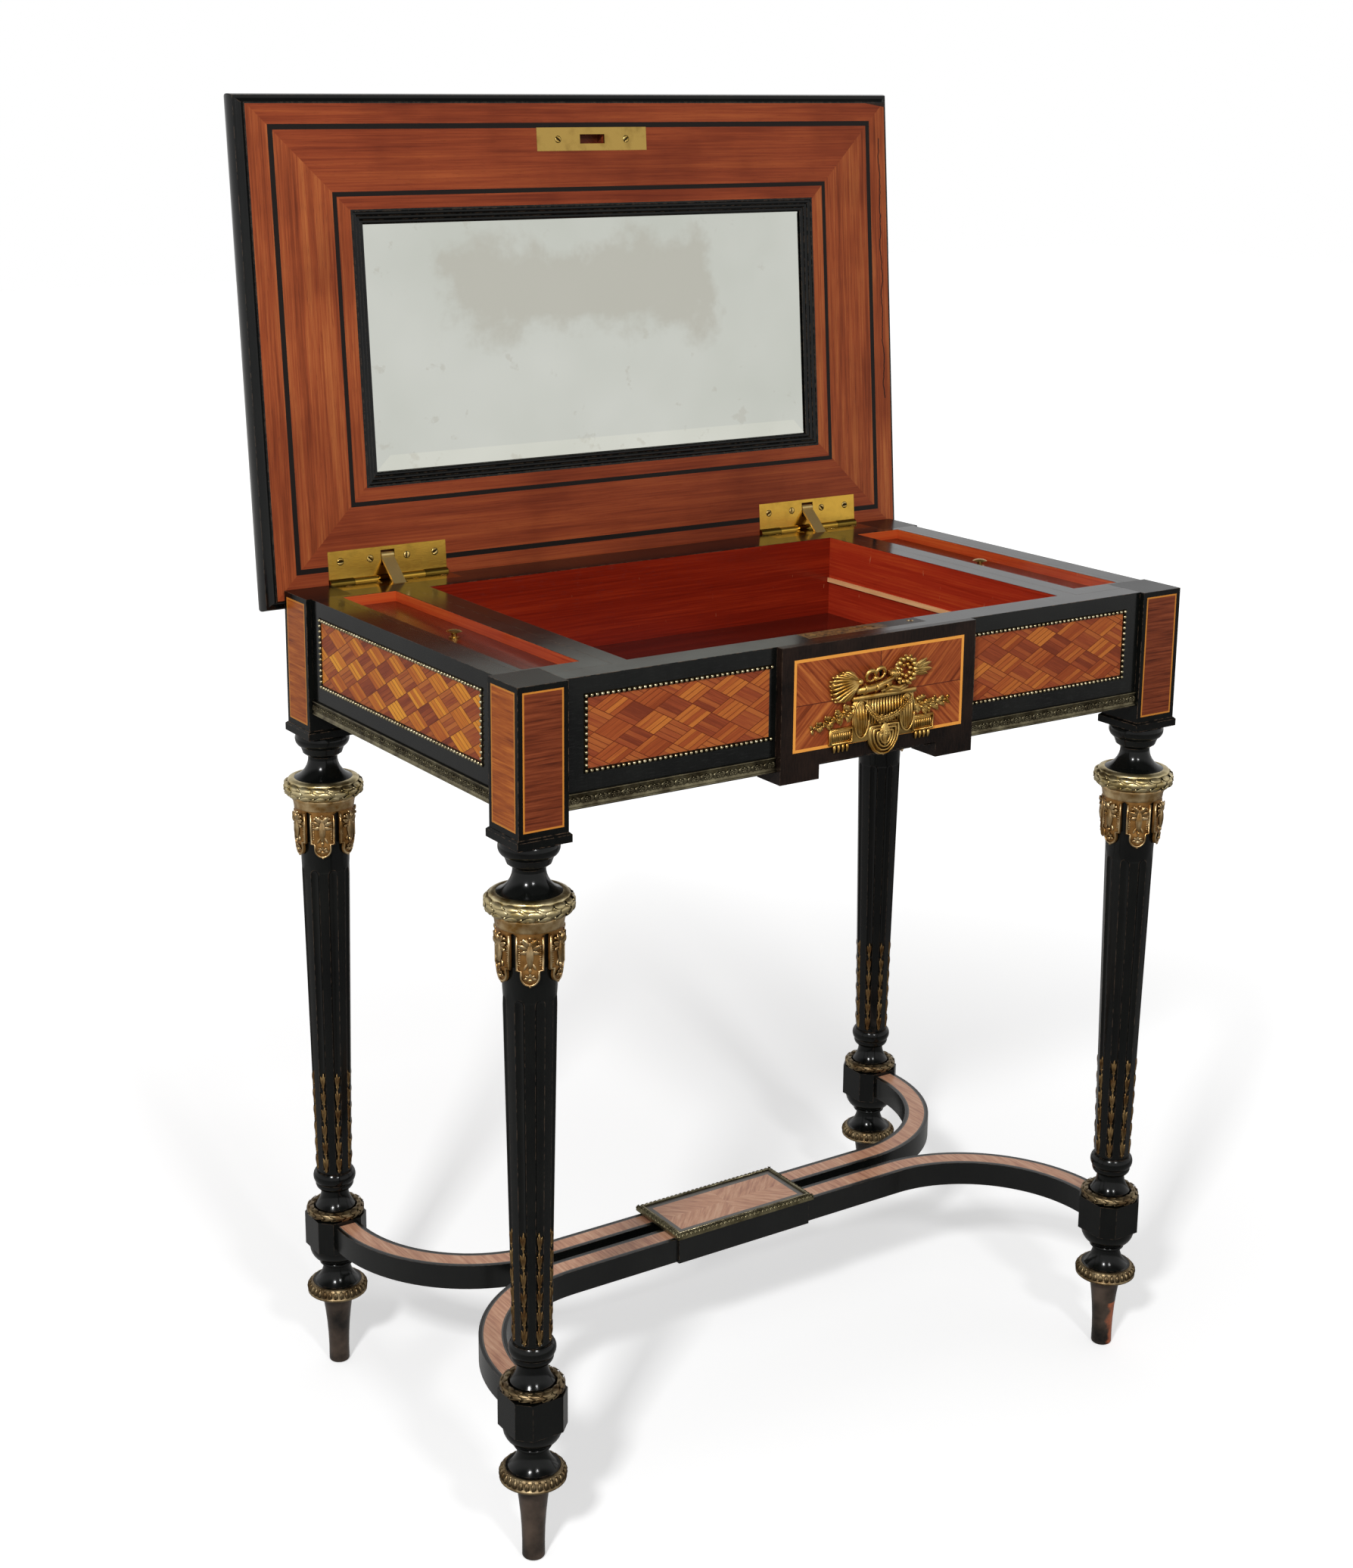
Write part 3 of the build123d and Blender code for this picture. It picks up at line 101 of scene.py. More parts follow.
class Graph:
    """A node tree of a material, of the world or of a geometry modifier."""

    MODES = {
        "ShaderNodeMath": "operation",
        "ShaderNodeVectorMath": "operation",
        "ShaderNodeMapRange": "interpolation_type",
        "ShaderNodeMix": "data_type",
    }

    def __init__(self, tree: bpy.types.NodeTree) -> None:
        """Starts on an emptied tree."""
        self.tree = tree
        tree.nodes.clear()

    def add(
        self,
        kind: str,
        *inputs: Any,
        out: int | str = 0,
        stops: Sequence[tuple[float, str]] = (),
        **settings: Any,
    ) -> Any:
        """Adds a node with its settings and links.

        Args:
            kind: The node's type name without ShaderNode, and after a dot the mode that it works in.
            *inputs: Values, hex colours or sockets for the inputs it shows, or one table of them by name.
            out: The output to return, by place or by name.
            stops: Places and hex colours of a colour ramp.
            **settings: Properties of the node.

        Returns:
            The chosen output socket, or None where the node has no output.
        """
        kind, _, mode = kind.partition(".")
        node = self.tree.nodes.new(kind if "Node" in kind else f"ShaderNode{kind}")
        if mode:
            settings[self.MODES[node.bl_idname]] = mode
        for key, value in settings.items():
            setattr(node, key, value)
        for place, colour in stops[2:]:
            node.color_ramp.elements.new(place)
        for element, (place, colour) in zip(node.color_ramp.elements if stops else (), stops):
            element.position, element.color = place, linear(colour)
        shown = [socket for socket in node.inputs if socket.enabled]
        by_name = bool(inputs) and isinstance(inputs[0], dict)
        for key, value in inputs[0].items() if by_name else enumerate(inputs):
            socket = node.inputs[key] if by_name else shown[key]
            if isinstance(value, bpy.types.NodeSocket):
                self.tree.links.new(value, socket)
            elif value is not None:
                is_hex = isinstance(value, str) and value.startswith("#")
                socket.default_value = linear(value) if is_hex else value
        if isinstance(out, str):
            return node.outputs[out]
        ends = [socket for socket in node.outputs if socket.enabled]
        return ends[out] if ends else None

    def millimetres(self) -> Any:
        """Returns the surface point in case millimetres."""
        place = self.add("TexCoord", out="Object")
        return self.add("VectorMath.MULTIPLY_ADD", place, (1 / MM,) * 3, (0.0, ORIGIN_BACK, 0.0))

    def along(self, point: Any, direction: Vec, start: float = 0.0) -> Any:
        """Returns how far a point lies along a direction, from a start."""
        return self.add("Math.SUBTRACT", self.add("VectorMath.DOT_PRODUCT", point, direction), start)

    def up_lid(self, point: Any) -> Any:
        """Returns how far up the open lid a point lies, from the hinge axis."""
        return self.along(point, (0.0, sin(LEAN), cos(LEAN)), HINGE_Y * sin(LEAN) + HINGE_Z * cos(LEAN))

    def inside(self, across: Any, up: Any, half_w: float, low: float, high: float) -> Any:
        """Returns how far inside a rectangle a point lies, in millimetres, negative outside."""
        side = self.add("Math.SUBTRACT", half_w, self.add("Math.ABSOLUTE", across))
        off_middle = self.add("Math.ABSOLUTE", self.add("Math.SUBTRACT", up, (high + low) / 2))
        return self.add("Math.MINIMUM", side, self.add("Math.SUBTRACT", (high - low) / 2, off_middle))

    def band(self, value: Any, low: float, high: float) -> Any:
        """Is one between two values and zero outside."""
        return self.add("Math.COMPARE", value, (low + high) / 2, (high - low) / 2)

    def to_rim(self, share: Any) -> Any:
        """Returns how far a share between zero and one lies from the nearer end."""
        return self.add("Math.MINIMUM", share, self.add("Math.SUBTRACT", 1.0, share))

    def quartered(self, across: Any, up: Any) -> tuple[Any, Any, Any]:
        """Turns a veneer in four quarters, so that its grain runs towards the middle.

        Args:
            across: Millimetres across, from the middle.
            up: Millimetres up, from the middle.

        Returns:
            The places across and along the grain, and the sign of the quarter.
        """
        turn = self.add("Math.SIGN", self.add("Math.MULTIPLY", across, up))
        over = self.add("Math.SUBTRACT", up, self.add("Math.MULTIPLY", across, turn))
        along = self.add("Math.ADD", across, self.add("Math.MULTIPLY", up, turn))
        return self.add("Math.MULTIPLY", over, DIAGONAL), along, turn

    def edge_wear(self, radius: float, amount: float) -> Any:
        """Finds the sharp edges that hands and cloths rub, broken up by noise.

        Args:
            radius: Millimetres that the rub reaches from an edge.
            amount: Share of bare wood where it is rubbed most.

        Returns:
            The share of bare wood.
        """
        soft = self.add("Bevel", {"Radius": radius * MM}, samples=4)
        dot = self.add("VectorMath.DOT_PRODUCT", self.add("NewGeometry", out="Normal"), soft)
        rub = self.add("MapRange.SMOOTHSTEP", self.add("Math.SUBTRACT", 1.0, dot), 0.01, 0.10)
        blotches = self.add("TexNoise", self.millimetres(), 0.22, 5.0, SOFT)
        patches = self.add("MapRange.SMOOTHSTEP", blotches, 0.42, 0.62)
        return self.add("Math.MULTIPLY", self.add("Math.MULTIPLY", rub, patches), amount)


class Finish(Graph):
    """The nodes of one material, with one Principled surface."""

    def __init__(self, name: str) -> None:
        """Starts a material of that name."""
        self.material = bpy.data.materials.new(name)
        self.material.use_nodes = True
        super().__init__(self.material.node_tree)

    def finish(
        self,
        colour: Any,
        rough: Any,
        height: Any = None,
        depth: float = 0.1,
        metal: float = 0.0,
        gloss: float = 0.5,
    ) -> bpy.types.Material:
        """Joins colour, roughness and relief to the surface.

        Args:
            colour: Base colour socket or value.
            rough: Roughness socket or value.
            height: Relief between zero and one, or None.
            depth: Relief in millimetres.
            metal: One for a metal.
            gloss: Strength of a polish's mirror.

        Returns:
            The finished material.
        """
        look = {"Base Color": colour, "Roughness": rough, "Metallic": metal, "Specular IOR Level": gloss}
        if height is not None:
            look["Normal"] = self.add("Bump", {"Strength": 0.8, "Distance": depth * MM, "Height": height})
        self.add("OutputMaterial", self.add("BsdfPrincipled", look))
        return self.material


class Look(Protocol):
    """A finish that builds its own material."""

    def build(self) -> bpy.types.Material:
        """Builds the finish."""


@dataclass(frozen=True)
class Grain:
    """The figure of a sawn or sliced wood, with its real sizes in millimetres."""

    dark: str
    middle: str
    light: str
    band: float = 7.0
    run: float = 16.0
    pore: float = 0.55
    streak: float = 1.6
    pore_run: float = 22.0

    def paint(self, g: Graph, across: Any, along: Any, shift: Any = 0.0) -> tuple[Any, Any]:
        """Lays the figure along a direction.

        Args:
            g: The material's graph.
            across: Millimetres across the grain.
            along: Millimetres along the grain.
            shift: A number that picks another part of the board.

        Returns:
            The colour and the skin, which is zero where a pore is open.
        """

        def flecks(wide: float, run: float, detail: float, rough: float) -> Any:
            """Returns noise drawn out along the grain."""
            place = g.add("CombineXYZ", across, g.add("Math.DIVIDE", along, run), shift)
            return g.add("TexNoise", place, 1 / wide, detail, rough)

        wave = flecks(self.band, self.run, 4.0, 0.6)
        streaks = flecks(self.streak, self.run * 2.5, 3.0, 0.6)
        tone = g.add("Math.MULTIPLY_ADD", streaks, 0.45, g.add("Math.MULTIPLY", wave, 0.55))
        stops = ((0.33, self.dark), (0.5, self.middle), (0.68, self.light))
        colour = g.add("ValToRGB", tone, stops=stops)
        pores = g.add("MapRange.SMOOTHSTEP", flecks(self.pore, self.pore_run, 2.0, 0.5), 0.60, 0.72)
        colour = g.add("Mix.RGBA", g.add("Math.MULTIPLY", pores, 0.45), colour, self.dark)
        return colour, g.add("Math.SUBTRACT", 1.0, pores)


MAHOGANY = Grain("#682814", "#883c20", "#a0502a", 11.0, 26.0)
SIDE_MAHOGANY = Grain("#622813", "#964826", "#b46838", 9.0, 22.0)
RED_MAHOGANY = Grain("#5c1208", "#7a1c0c", "#962c12", 22.0, 24.0)
BRIGHT_MAHOGANY = Grain("#8a200e", "#a8301a", "#c04a22", 20.0, 24.0)
ORANGE_MAHOGANY = Grain("#9a2c10", "#bb4820", "#d4682e", 18.0, 24.0)
FLOOR_MAHOGANY = Grain("#2e0a07", "#4a120c", "#661e10", 20.0, 24.0)
COVER_MAHOGANY = Grain("#360f09", "#58190d", "#762a14", 9.0, 20.0)
BEECH = Grain("#cf9a66", "#eab27c", "#f6cc9c", 3.0)
KINGWOOD = Grain("#451c0f", "#6a301a", "#844226", 3.2, 14.0, 0.5)
# A lighter copy of the kingwood, painted light on the posts' faces that look to the sides.
LIT_SIDE_KINGWOOD = Grain("#6c2e12", "#9a4e1c", "#bc6c2a", 3.0, 12.0, 0.4)
TABLET_KINGWOOD = Grain("#582210", "#8e4422", "#b86c34", 3.0, 30.0, 0.45)
FADED_KINGWOOD = Grain("#a8705a", "#cf9878", "#e6b898", 4.0, 9.0, 0.5)
BOXWOOD = "#bc782e"


@dataclass(frozen=True)
class EbonisedPear:
    """Pear wood stained black and french polished: a deep soft gloss, brown where it is rubbed through."""

    black: str = "#060707"
    stain: str = "#10110f"
    rubbed: str = "#6f5a48"
    wear: float = 0.5
    wear_reach: float = 0.9
    scuffed: str = "#584a40"
    scuffed_below: float = 66.0
    bare: str = "#a45c3c"
    bare_below: float = 44.0
    bare_side: Vec = (0.844, -0.536, 0.0)
    bare_span: Vec = (364.0, 369.0, 400.0)
    bare_ragged: float = 16.0

    def shade(self, g: Graph) -> tuple[Any, Any]:
        """Returns the colour and roughness, with scuffed feet and the bare patch on the right front one."""
        point = g.millimetres()
        cloud = g.add("TexNoise", point, 0.02, 5.0, SOFT)
        fine = g.add("TexNoise", g.add("VectorMath.MULTIPLY", point, (1.0, 1.0, 0.12)), 0.9, 3.0, SOFT)
        tone = g.add("Math.MULTIPLY_ADD", fine, 0.35, g.add("Math.MULTIPLY", cloud, 0.75))
        colour = g.add("ValToRGB", tone, stops=((0.4, self.black), (0.75, self.stain)))
        colour = g.add("Mix.RGBA", g.edge_wear(self.wear_reach, self.wear), colour, self.rubbed)
        z, side = g.along(point, UP), g.along(point, self.bare_side)
        blotches = g.add("TexNoise", point, 0.03, 5.0, SOFT)
        scuffs = g.add("MapRange.SMOOTHSTEP", blotches, 0.2, 0.75, 0.0, 0.9)
        foot = g.add("Math.LESS_THAN", z, self.scuffed_below)
        colour = g.add("Mix.RGBA", g.add("Math.MULTIPLY", foot, scuffs), colour, self.scuffed)
        begins, full, ends = self.bare_span
        fray = g.add("TexNoise", point, 0.09, 4.0, SOFT)
        ragged = g.add("Math.MULTIPLY_ADD", fray, self.bare_ragged, side)
        patch = g.add("MapRange.SMOOTHSTEP", ragged, begins, full, 0.0, 0.85)
        for value, limit in ((z, self.bare_below), (side, ends)):
            patch = g.add("Math.MULTIPLY", patch, g.add("Math.LESS_THAN", value, limit))
        return g.add("Mix.RGBA", patch, colour, self.bare), g.add("Math.MULTIPLY_ADD", cloud, 0.16, 0.08)

    def build(self) -> bpy.types.Material:
        """Builds the black polish."""
        g = Finish("ebonised_pear_french_polished")
        colour, rough = self.shade(g)
        ripple = g.add("TexNoise", g.millimetres(), 0.12, 2.0, SOFT)
        return g.finish(colour, rough, ripple, 0.04, gloss=0.27)


@dataclass(frozen=True)
class GiltBronze:
    """Cast and chased bronze, once fire gilt: gold on what stands out, brown in the hollows."""

    name: str = "gilt_bronze_aged"
    gold: str = "#b88434"
    pale: str = "#eac678"
    brown: str = "#50301a"
    rough: float = 0.3
    chasing: float = 0.5
    hollow: tuple[float, float] = (0.35, 0.88)
    cavity: float = 2.2

    def build(self) -> bpy.types.Material:
        """Builds the metal from its cavities, its rubbed heights and the matting of the ground."""
        g = Finish(self.name)
        point = g.millimetres()
        cloud = g.add("TexNoise", point, 0.09, 4.0, SOFT)
        open_air = g.add("AmbientOcclusion", {"Distance": self.cavity * MM}, out="AO", samples=6)
        lit = g.add("MapRange.SMOOTHSTEP", open_air, *self.hollow)
        gold = g.add("ValToRGB", cloud, stops=((0.35, self.gold), (0.7, self.pale)))
        colour = g.add("Mix.RGBA", lit, self.brown, gold)
        rough = g.add("Math.MULTIPLY_ADD", cloud, 0.25, self.rough - 0.08)
        matting = g.add("TexNoise", point, 1.6, 2.0, SOFT)
        return g.finish(colour, rough, matting, 0.12 * self.chasing, 1.0)


# The bronzes and screws that differ from the plain gilt of the mount.
AGED = (0.5, 1.0)
COLLAR_GILT = GiltBronze("gilt_bronze_collar_rubbed", "#a67c44", "#ecd2a2", "#341c0e", 0.26)
LAUREL_GILT = GiltBronze("gilt_bronze_laurel_pale", "#a8925c", "#f2e2b4", "#3f2c16", chasing=0.4)
MATTED_GILT = GiltBronze("gilt_bronze_matted_field", "#8f6434", "#b98a50", "#2c180e", 0.36, 1.2)
COPPER = GiltBronze("gilt_bronze_copper_worn", "#7e5c38", "#c8a670", "#22130a", 0.32, 0.8)
DARK_BRONZE = GiltBronze("gilt_bronze_darkened", "#6c563a", "#b09c78", "#20140a", 0.34, 0.8, AGED)
BEAD_GILT = GiltBronze("gilt_bronze_pale_beads", "#a09370", "#dacfac", "#171009", 0.24, 0.1, (0.5, 0.95))
STRIP_GILT = GiltBronze("gilt_bronze_frieze_olive", "#5f5642", "#a09778", "#1a150d", 0.34, 0.8, AGED)
OLIVE_GILT = GiltBronze("gilt_bronze_platform_olive", "#6a6248", "#aca27e", "#1c170e", 0.34, 0.8, AGED)
# Near-black bronze laid as painted shade: under the bead rows between the beads, and round and in the screw
# slots.
PAINTED_SHADE_BRONZE = GiltBronze("gilt_bronze_painted_shade", "#18120a", "#2a2012", "#0e0a06", 0.45, 0.8)
SCREW_BRASS = GiltBronze("brass_screw_slotted", "#c9a24c", "#ecd08a", "#20140a", 0.25, 0.1, (0.4, 0.8))


@dataclass(frozen=True)
class RolledBrass:
    """Rolled brass plate, filed along its length and lacquered, with finger tarnish."""

    name: str = "brass_hinge_lacquered"
    yellow: str = "#dcae48"
    tarnish: str = "#9a7a30"
    rough: float = 0.17
    spread: float = 0.3

    def build(self) -> bpy.types.Material:
        """Builds the brass with its file marks and tarnish."""
        g = Finish(self.name)
        point = g.millimetres()
        blotches = g.add("TexNoise", point, 0.07, 5.0, SOFT)
        cloud = g.add("MapRange.SMOOTHSTEP", blotches, 0.45, 0.75, 0.0, self.spread)
        marks = g.add("TexNoise", g.add("VectorMath.MULTIPLY", point, (0.06, 1.0, 1.0)), 2.5, 2.0, SOFT)
        colour = g.add("Mix.RGBA", cloud, self.yellow, self.tarnish)
        return g.finish(colour, g.add("Math.MULTIPLY_ADD", cloud, 0.25, self.rough), marks, 0.03, 1.0)


@dataclass(frozen=True)
class LockPlate:
    """The lock's top plate of sheet brass: worn bright under the hand, black with old oil elsewhere."""

    oiled: str = "#231d18"
    bright: str = "#b98f4c"
    starts: tuple[float, float] = (-52.0, -44.0)
    ends: tuple[float, float] = (20.0, 36.0)
    ragged: float = 26.0

    def build(self) -> bpy.types.Material:
        """Builds the tarnished plate with its worn patch at the left."""
        g = Finish("lock_plate_tarnished_brass")
        point = g.millimetres()
        x = g.along(point, ACROSS)
        edge = g.add("Math.MULTIPLY_ADD", g.add("TexNoise", point, 0.12, 5.0, SOFT), self.ragged, x)
        before = g.add("Math.SUBTRACT", 1.0, g.add("MapRange.SMOOTHSTEP", edge, *self.ends))
        worn = g.add("Math.MULTIPLY", g.add("MapRange.SMOOTHSTEP", edge, *self.starts), before)
        flecks = g.add("MapRange.SMOOTHSTEP", g.add("TexNoise", point, 0.35, 4.0, SOFT), 0.3, 0.6)
        colour = g.add("Mix.RGBA", g.add("Math.MULTIPLY", worn, flecks), self.oiled, self.bright)
        return g.finish(colour, 0.38, g.add("TexNoise", point, 0.6, 3.0, SOFT), 0.06, 0.85)


@dataclass(frozen=True)
class OldMirror:
    """Silvered plate glass, the silver clouded grey in one wide patch and foxed in spots."""

    patch: Vec = (145.0, 196.0, 292.0)
    grey: str = "#d2d0c4"
    silver: tuple[str, str] = ("#dcdfd5", "#e9ebe3")

    def build(self) -> bpy.types.Material:
        """Builds the mirror with its clouded patch and its foxing."""
        g = Finish("mirror_plate_aged_silvering")
        point = g.millimetres()
        drift = g.add("TexNoise", point, 0.016, 6.0, 0.6, out=1)
        sway = g.add("Math.MULTIPLY_ADD", g.along(drift, ACROSS), 130.0, -43.0)
        lift = g.add("Math.MULTIPLY_ADD", g.along(drift, DEEP), 110.0, -55.0)
        x = g.add("Math.ADD", g.along(point, ACROSS), sway)
        inner = g.inside(x, g.add("Math.ADD", g.up_lid(point), lift), *self.patch)
        patch = g.add("MapRange.SMOOTHSTEP", inner, -6.0, 20.0, 0.0, 0.8)
        blotches = g.add("TexNoise", point, 0.045, 5.0, SOFT)
        spots = g.add("MapRange.SMOOTHSTEP", blotches, 0.63, 0.7, 0.0, 0.5)
        cloud = g.add("TexNoise", point, 0.006, 3.0, SOFT)
        clear = g.add("ValToRGB", cloud, stops=tuple(zip((0.3, 0.7), self.silver)))
        colour = g.add("Mix.RGBA", g.add("Math.MAXIMUM", patch, spots), clear, self.grey)
        return g.finish(colour, g.add("Math.MULTIPLY_ADD", patch, 0.24, 0.06), metal=1.0)


@dataclass(frozen=True)
class PanelledLid:
    """The inside of the lid: oiled mahogany borders mitred round two ebony strings."""

    outer: Vec = (317.0, 11.0, 388.5)
    outer_string: float = 4.6
    inner: Vec = (261.3, 64.5, 332.0)
    inner_string: float = 4.0
    middle_up: float = 199.0
    ebony: str = "#16100d"
    crack: str = "#2a120b"
    crack_x: tuple[float, float] = (332.2, 333.4)
    crack_up: tuple[float, float] = (120.0, 372.0)
    chip: str = "#2a1c16"
    chip_slope: float = 0.16
    chip_from: float = 455.4
    inner_face: float = -6.0
    rim: Vec = (345.0, -19.0, 414.0)
    rim_black: float = 22.0
    rim_cross: float = 62.0
    rim_strings: tuple[tuple[float, float], ...] = ((60.0, 62.4), (22.0, 24.0))

    def build(self) -> bpy.types.Material:
        """Builds the borders, their mitres, the strings, a crack and the chipped corner."""
        g = Finish("mahogany_lid_lining_oiled")
        point = g.millimetres()
        x, up = g.along(point, ACROSS), g.up_lid(point)
        out = g.along(point, (0.0, -cos(LEAN), sin(LEAN)), -HINGE_Y * cos(LEAN) + HINGE_Z * sin(LEAN))
        far_side = g.add("Math.SUBTRACT", g.add("Math.ABSOLUTE", x), self.outer[0])
        from_middle = g.add("Math.ABSOLUTE", g.add("Math.SUBTRACT", up, self.middle_up))
        far_level = g.add("Math.SUBTRACT", from_middle, (self.outer[2] - self.outer[1]) / 2)
        upright = g.add("Math.GREATER_THAN", far_side, far_level)
        lie, lie_skin = MAHOGANY.paint(g, up, x)
        stand, stand_skin = SIDE_MAHOGANY.paint(g, x, up, 40.0)
        colour = g.add("Mix.RGBA", upright, lie, stand)
        cloud = g.add("TexNoise", point, 0.009, 3.0, SOFT)
        old_oil = g.add("MapRange.SMOOTHSTEP", cloud, 0.4, 0.7, 0.0, 0.35)
        colour = g.add("Mix.RGBA", old_oil, colour, "#7c2f1a", blend_type="MULTIPLY")
        outer = g.band(g.inside(x, up, *self.outer), 0.0, self.outer_string)
        inner = g.band(g.inside(x, up, *self.inner), 0.0, self.inner_string)
        split = g.add("TexNoise", g.add("CombineXYZ", 0.0, up), 0.035, 4.0, SOFT)
        split = g.band(g.add("Math.MULTIPLY_ADD", split, 9.0, x), *self.crack_x)
        corner = g.add("Math.MULTIPLY_ADD", x, self.chip_slope, up)
        for share, hue in (
            (g.add("Math.MAXIMUM", outer, inner), self.ebony),
            (g.add("Math.MULTIPLY", split, g.band(up, *self.crack_up)), self.crack),
            (g.add("Math.GREATER_THAN", corner, self.chip_from), self.chip),
            (g.add("Math.LESS_THAN", out, self.inner_face), self.upper_side(g, x, up)),
        ):
            colour = g.add("Mix.RGBA", share, colour, hue)
        skin = g.add("Mix", upright, lie_skin, stand_skin)
        return g.finish(colour, g.add("Math.MULTIPLY_ADD", cloud, 0.25, 0.22), skin, 0.05, gloss=0.16)

    def upper_side(self, g: Graph, x: Any, up: Any) -> Any:
        """Returns the colour of the lid's upper side: parquetry in kingwood and ebonised borders."""
        colour = Parquetry("parquetry_lid").weave(g, x, up)
        within = g.inside(x, up, *self.rim)
        cross, _ = KINGWOOD.paint(g, g.add("Math.ADD", x, up), x)
        colour = g.add("Mix.RGBA", g.add("Math.LESS_THAN", within, self.rim_cross), colour, cross)
        strings = g.add("Math.MAXIMUM", *(g.band(within, *span) for span in self.rim_strings))
        colour = g.add("Mix.RGBA", strings, colour, BOXWOOD)
        return g.add("Mix.RGBA", g.add("Math.LESS_THAN", within, self.rim_black), colour, "#15100d")


@dataclass(frozen=True)
class Parquetry:
    """Panels of woven lozenges, each of four thin strips: tulipwood one way, kingwood the other."""

    name: str
    direction: Vec = (-1.0, 0.0, 0.0)
    wide: float = 35.0
    high: float = 19.0
    middle_z: float = 678.5
    strips: int = 4
    # The default woods are the lighter copy that the side panels and the lid's upper side take, painted
    # light from the lamp at the left; the front and back panels are given a darker copy.
    light: tuple[str, str, str] = ("#ae5622", "#d07a28", "#f0a232")
    dark: tuple[str, str, str] = ("#70301c", "#984826", "#be6c30")
    seam: str = "#55200f"
    slip_share: float = 0.5
    block_share: float = 0.36
    fibre_share: float = 0.78
    tones: Vec = (0.42, 0.75, 1.12)
    tone_span: float = 1.2

    def weave(self, g: Graph, across: Any, up: Any) -> Any:
        """Returns the colour of the woven veneers.

        Args:
            g: The material's graph.
            across: Millimetres along the panel.
            up: Millimetres up the panel.

        Returns:
            The colour socket.
        """
        flat, level = g.add("Math.DIVIDE", across, self.wide), g.add("Math.DIVIDE", up, self.high)
        rising, falling = (
            g.add("Math.ADD", g.add(f"Math.{way}", flat, level), 0.5) for way in ("ADD", "SUBTRACT")
        )
        cells = [g.add("Math.FLOOR", line) for line in (rising, falling)]
        parts = [g.add("Math.FRACT", line) for line in (rising, falling)]
        odd = g.add("Math.FLOORED_MODULO", g.add("Math.ADD", *cells), 2.0)
        side, length = g.add("Mix", odd, *parts), g.add("Mix", odd, falling, rising)
        place = g.add("Math.MULTIPLY", side, float(self.strips))
        block = g.add("TexWhiteNoise", g.add("CombineXYZ", *cells))
        slip = g.add("TexWhiteNoise", g.add("CombineXYZ", *cells, g.add("Math.FLOOR", place)))
        shift = g.add("Math.MULTIPLY", g.add("Math.ADD", block, slip), 60.0)
        drawn = (g.add("Math.MULTIPLY", side, 17.0), g.add("Math.MULTIPLY", length, 0.9), shift)
        fibres = g.add("TexNoise", g.add("CombineXYZ", *drawn), 1.0, 3.0, 0.65)
        tone = g.add("Math.MULTIPLY", fibres, self.fibre_share)
        tone = g.add("Math.MULTIPLY_ADD", block, self.block_share, tone)
        tone = g.add("Math.DIVIDE", g.add("Math.MULTIPLY_ADD", slip, self.slip_share, tone), self.tone_span)
        places = [level / self.tone_span for level in self.tones]
        woods = (self.light, self.dark)
        light, dark = (g.add("ValToRGB", tone, stops=tuple(zip(places, wood))) for wood in woods)
        colour = g.add("Mix.RGBA", odd, light, dark)
        joint = g.to_rim(g.add("Math.FRACT", place))
        thin = g.add("Math.SUBTRACT", 1.0, g.add("MapRange.SMOOTHSTEP", joint, 0.03, 0.10))
        thin = g.add("Math.MULTIPLY", thin, g.add("MapRange.SMOOTHSTEP", slip, 0.1, 0.6, 0.0, 0.85))
        colour = g.add("Mix.RGBA", thin, colour, self.seam)
        edge = g.add("Math.MINIMUM", *(g.to_rim(part) for part in parts))
        edge = g.add("Math.SUBTRACT", 1.0, g.add("MapRange.SMOOTHSTEP", edge, 0.006, 0.022, 0.0, 0.8))
        return g.add("Mix.RGBA", edge, colour, self.seam)

    def build(self) -> bpy.types.Material:
        """Builds the panel's veneers, laid along their direction."""
        g = Finish(self.name)
        point = g.millimetres()
        colour = self.weave(g, g.along(point, self.direction), g.along(point, UP, self.middle_z))
        polish = g.add("TexNoise", point, 0.03, 3.0, SOFT)
        rough = g.add("Math.MULTIPLY_ADD", polish, 0.2, 0.2)
        return g.finish(colour, rough, polish, 0.04, gloss=VENEER_GLOSS)


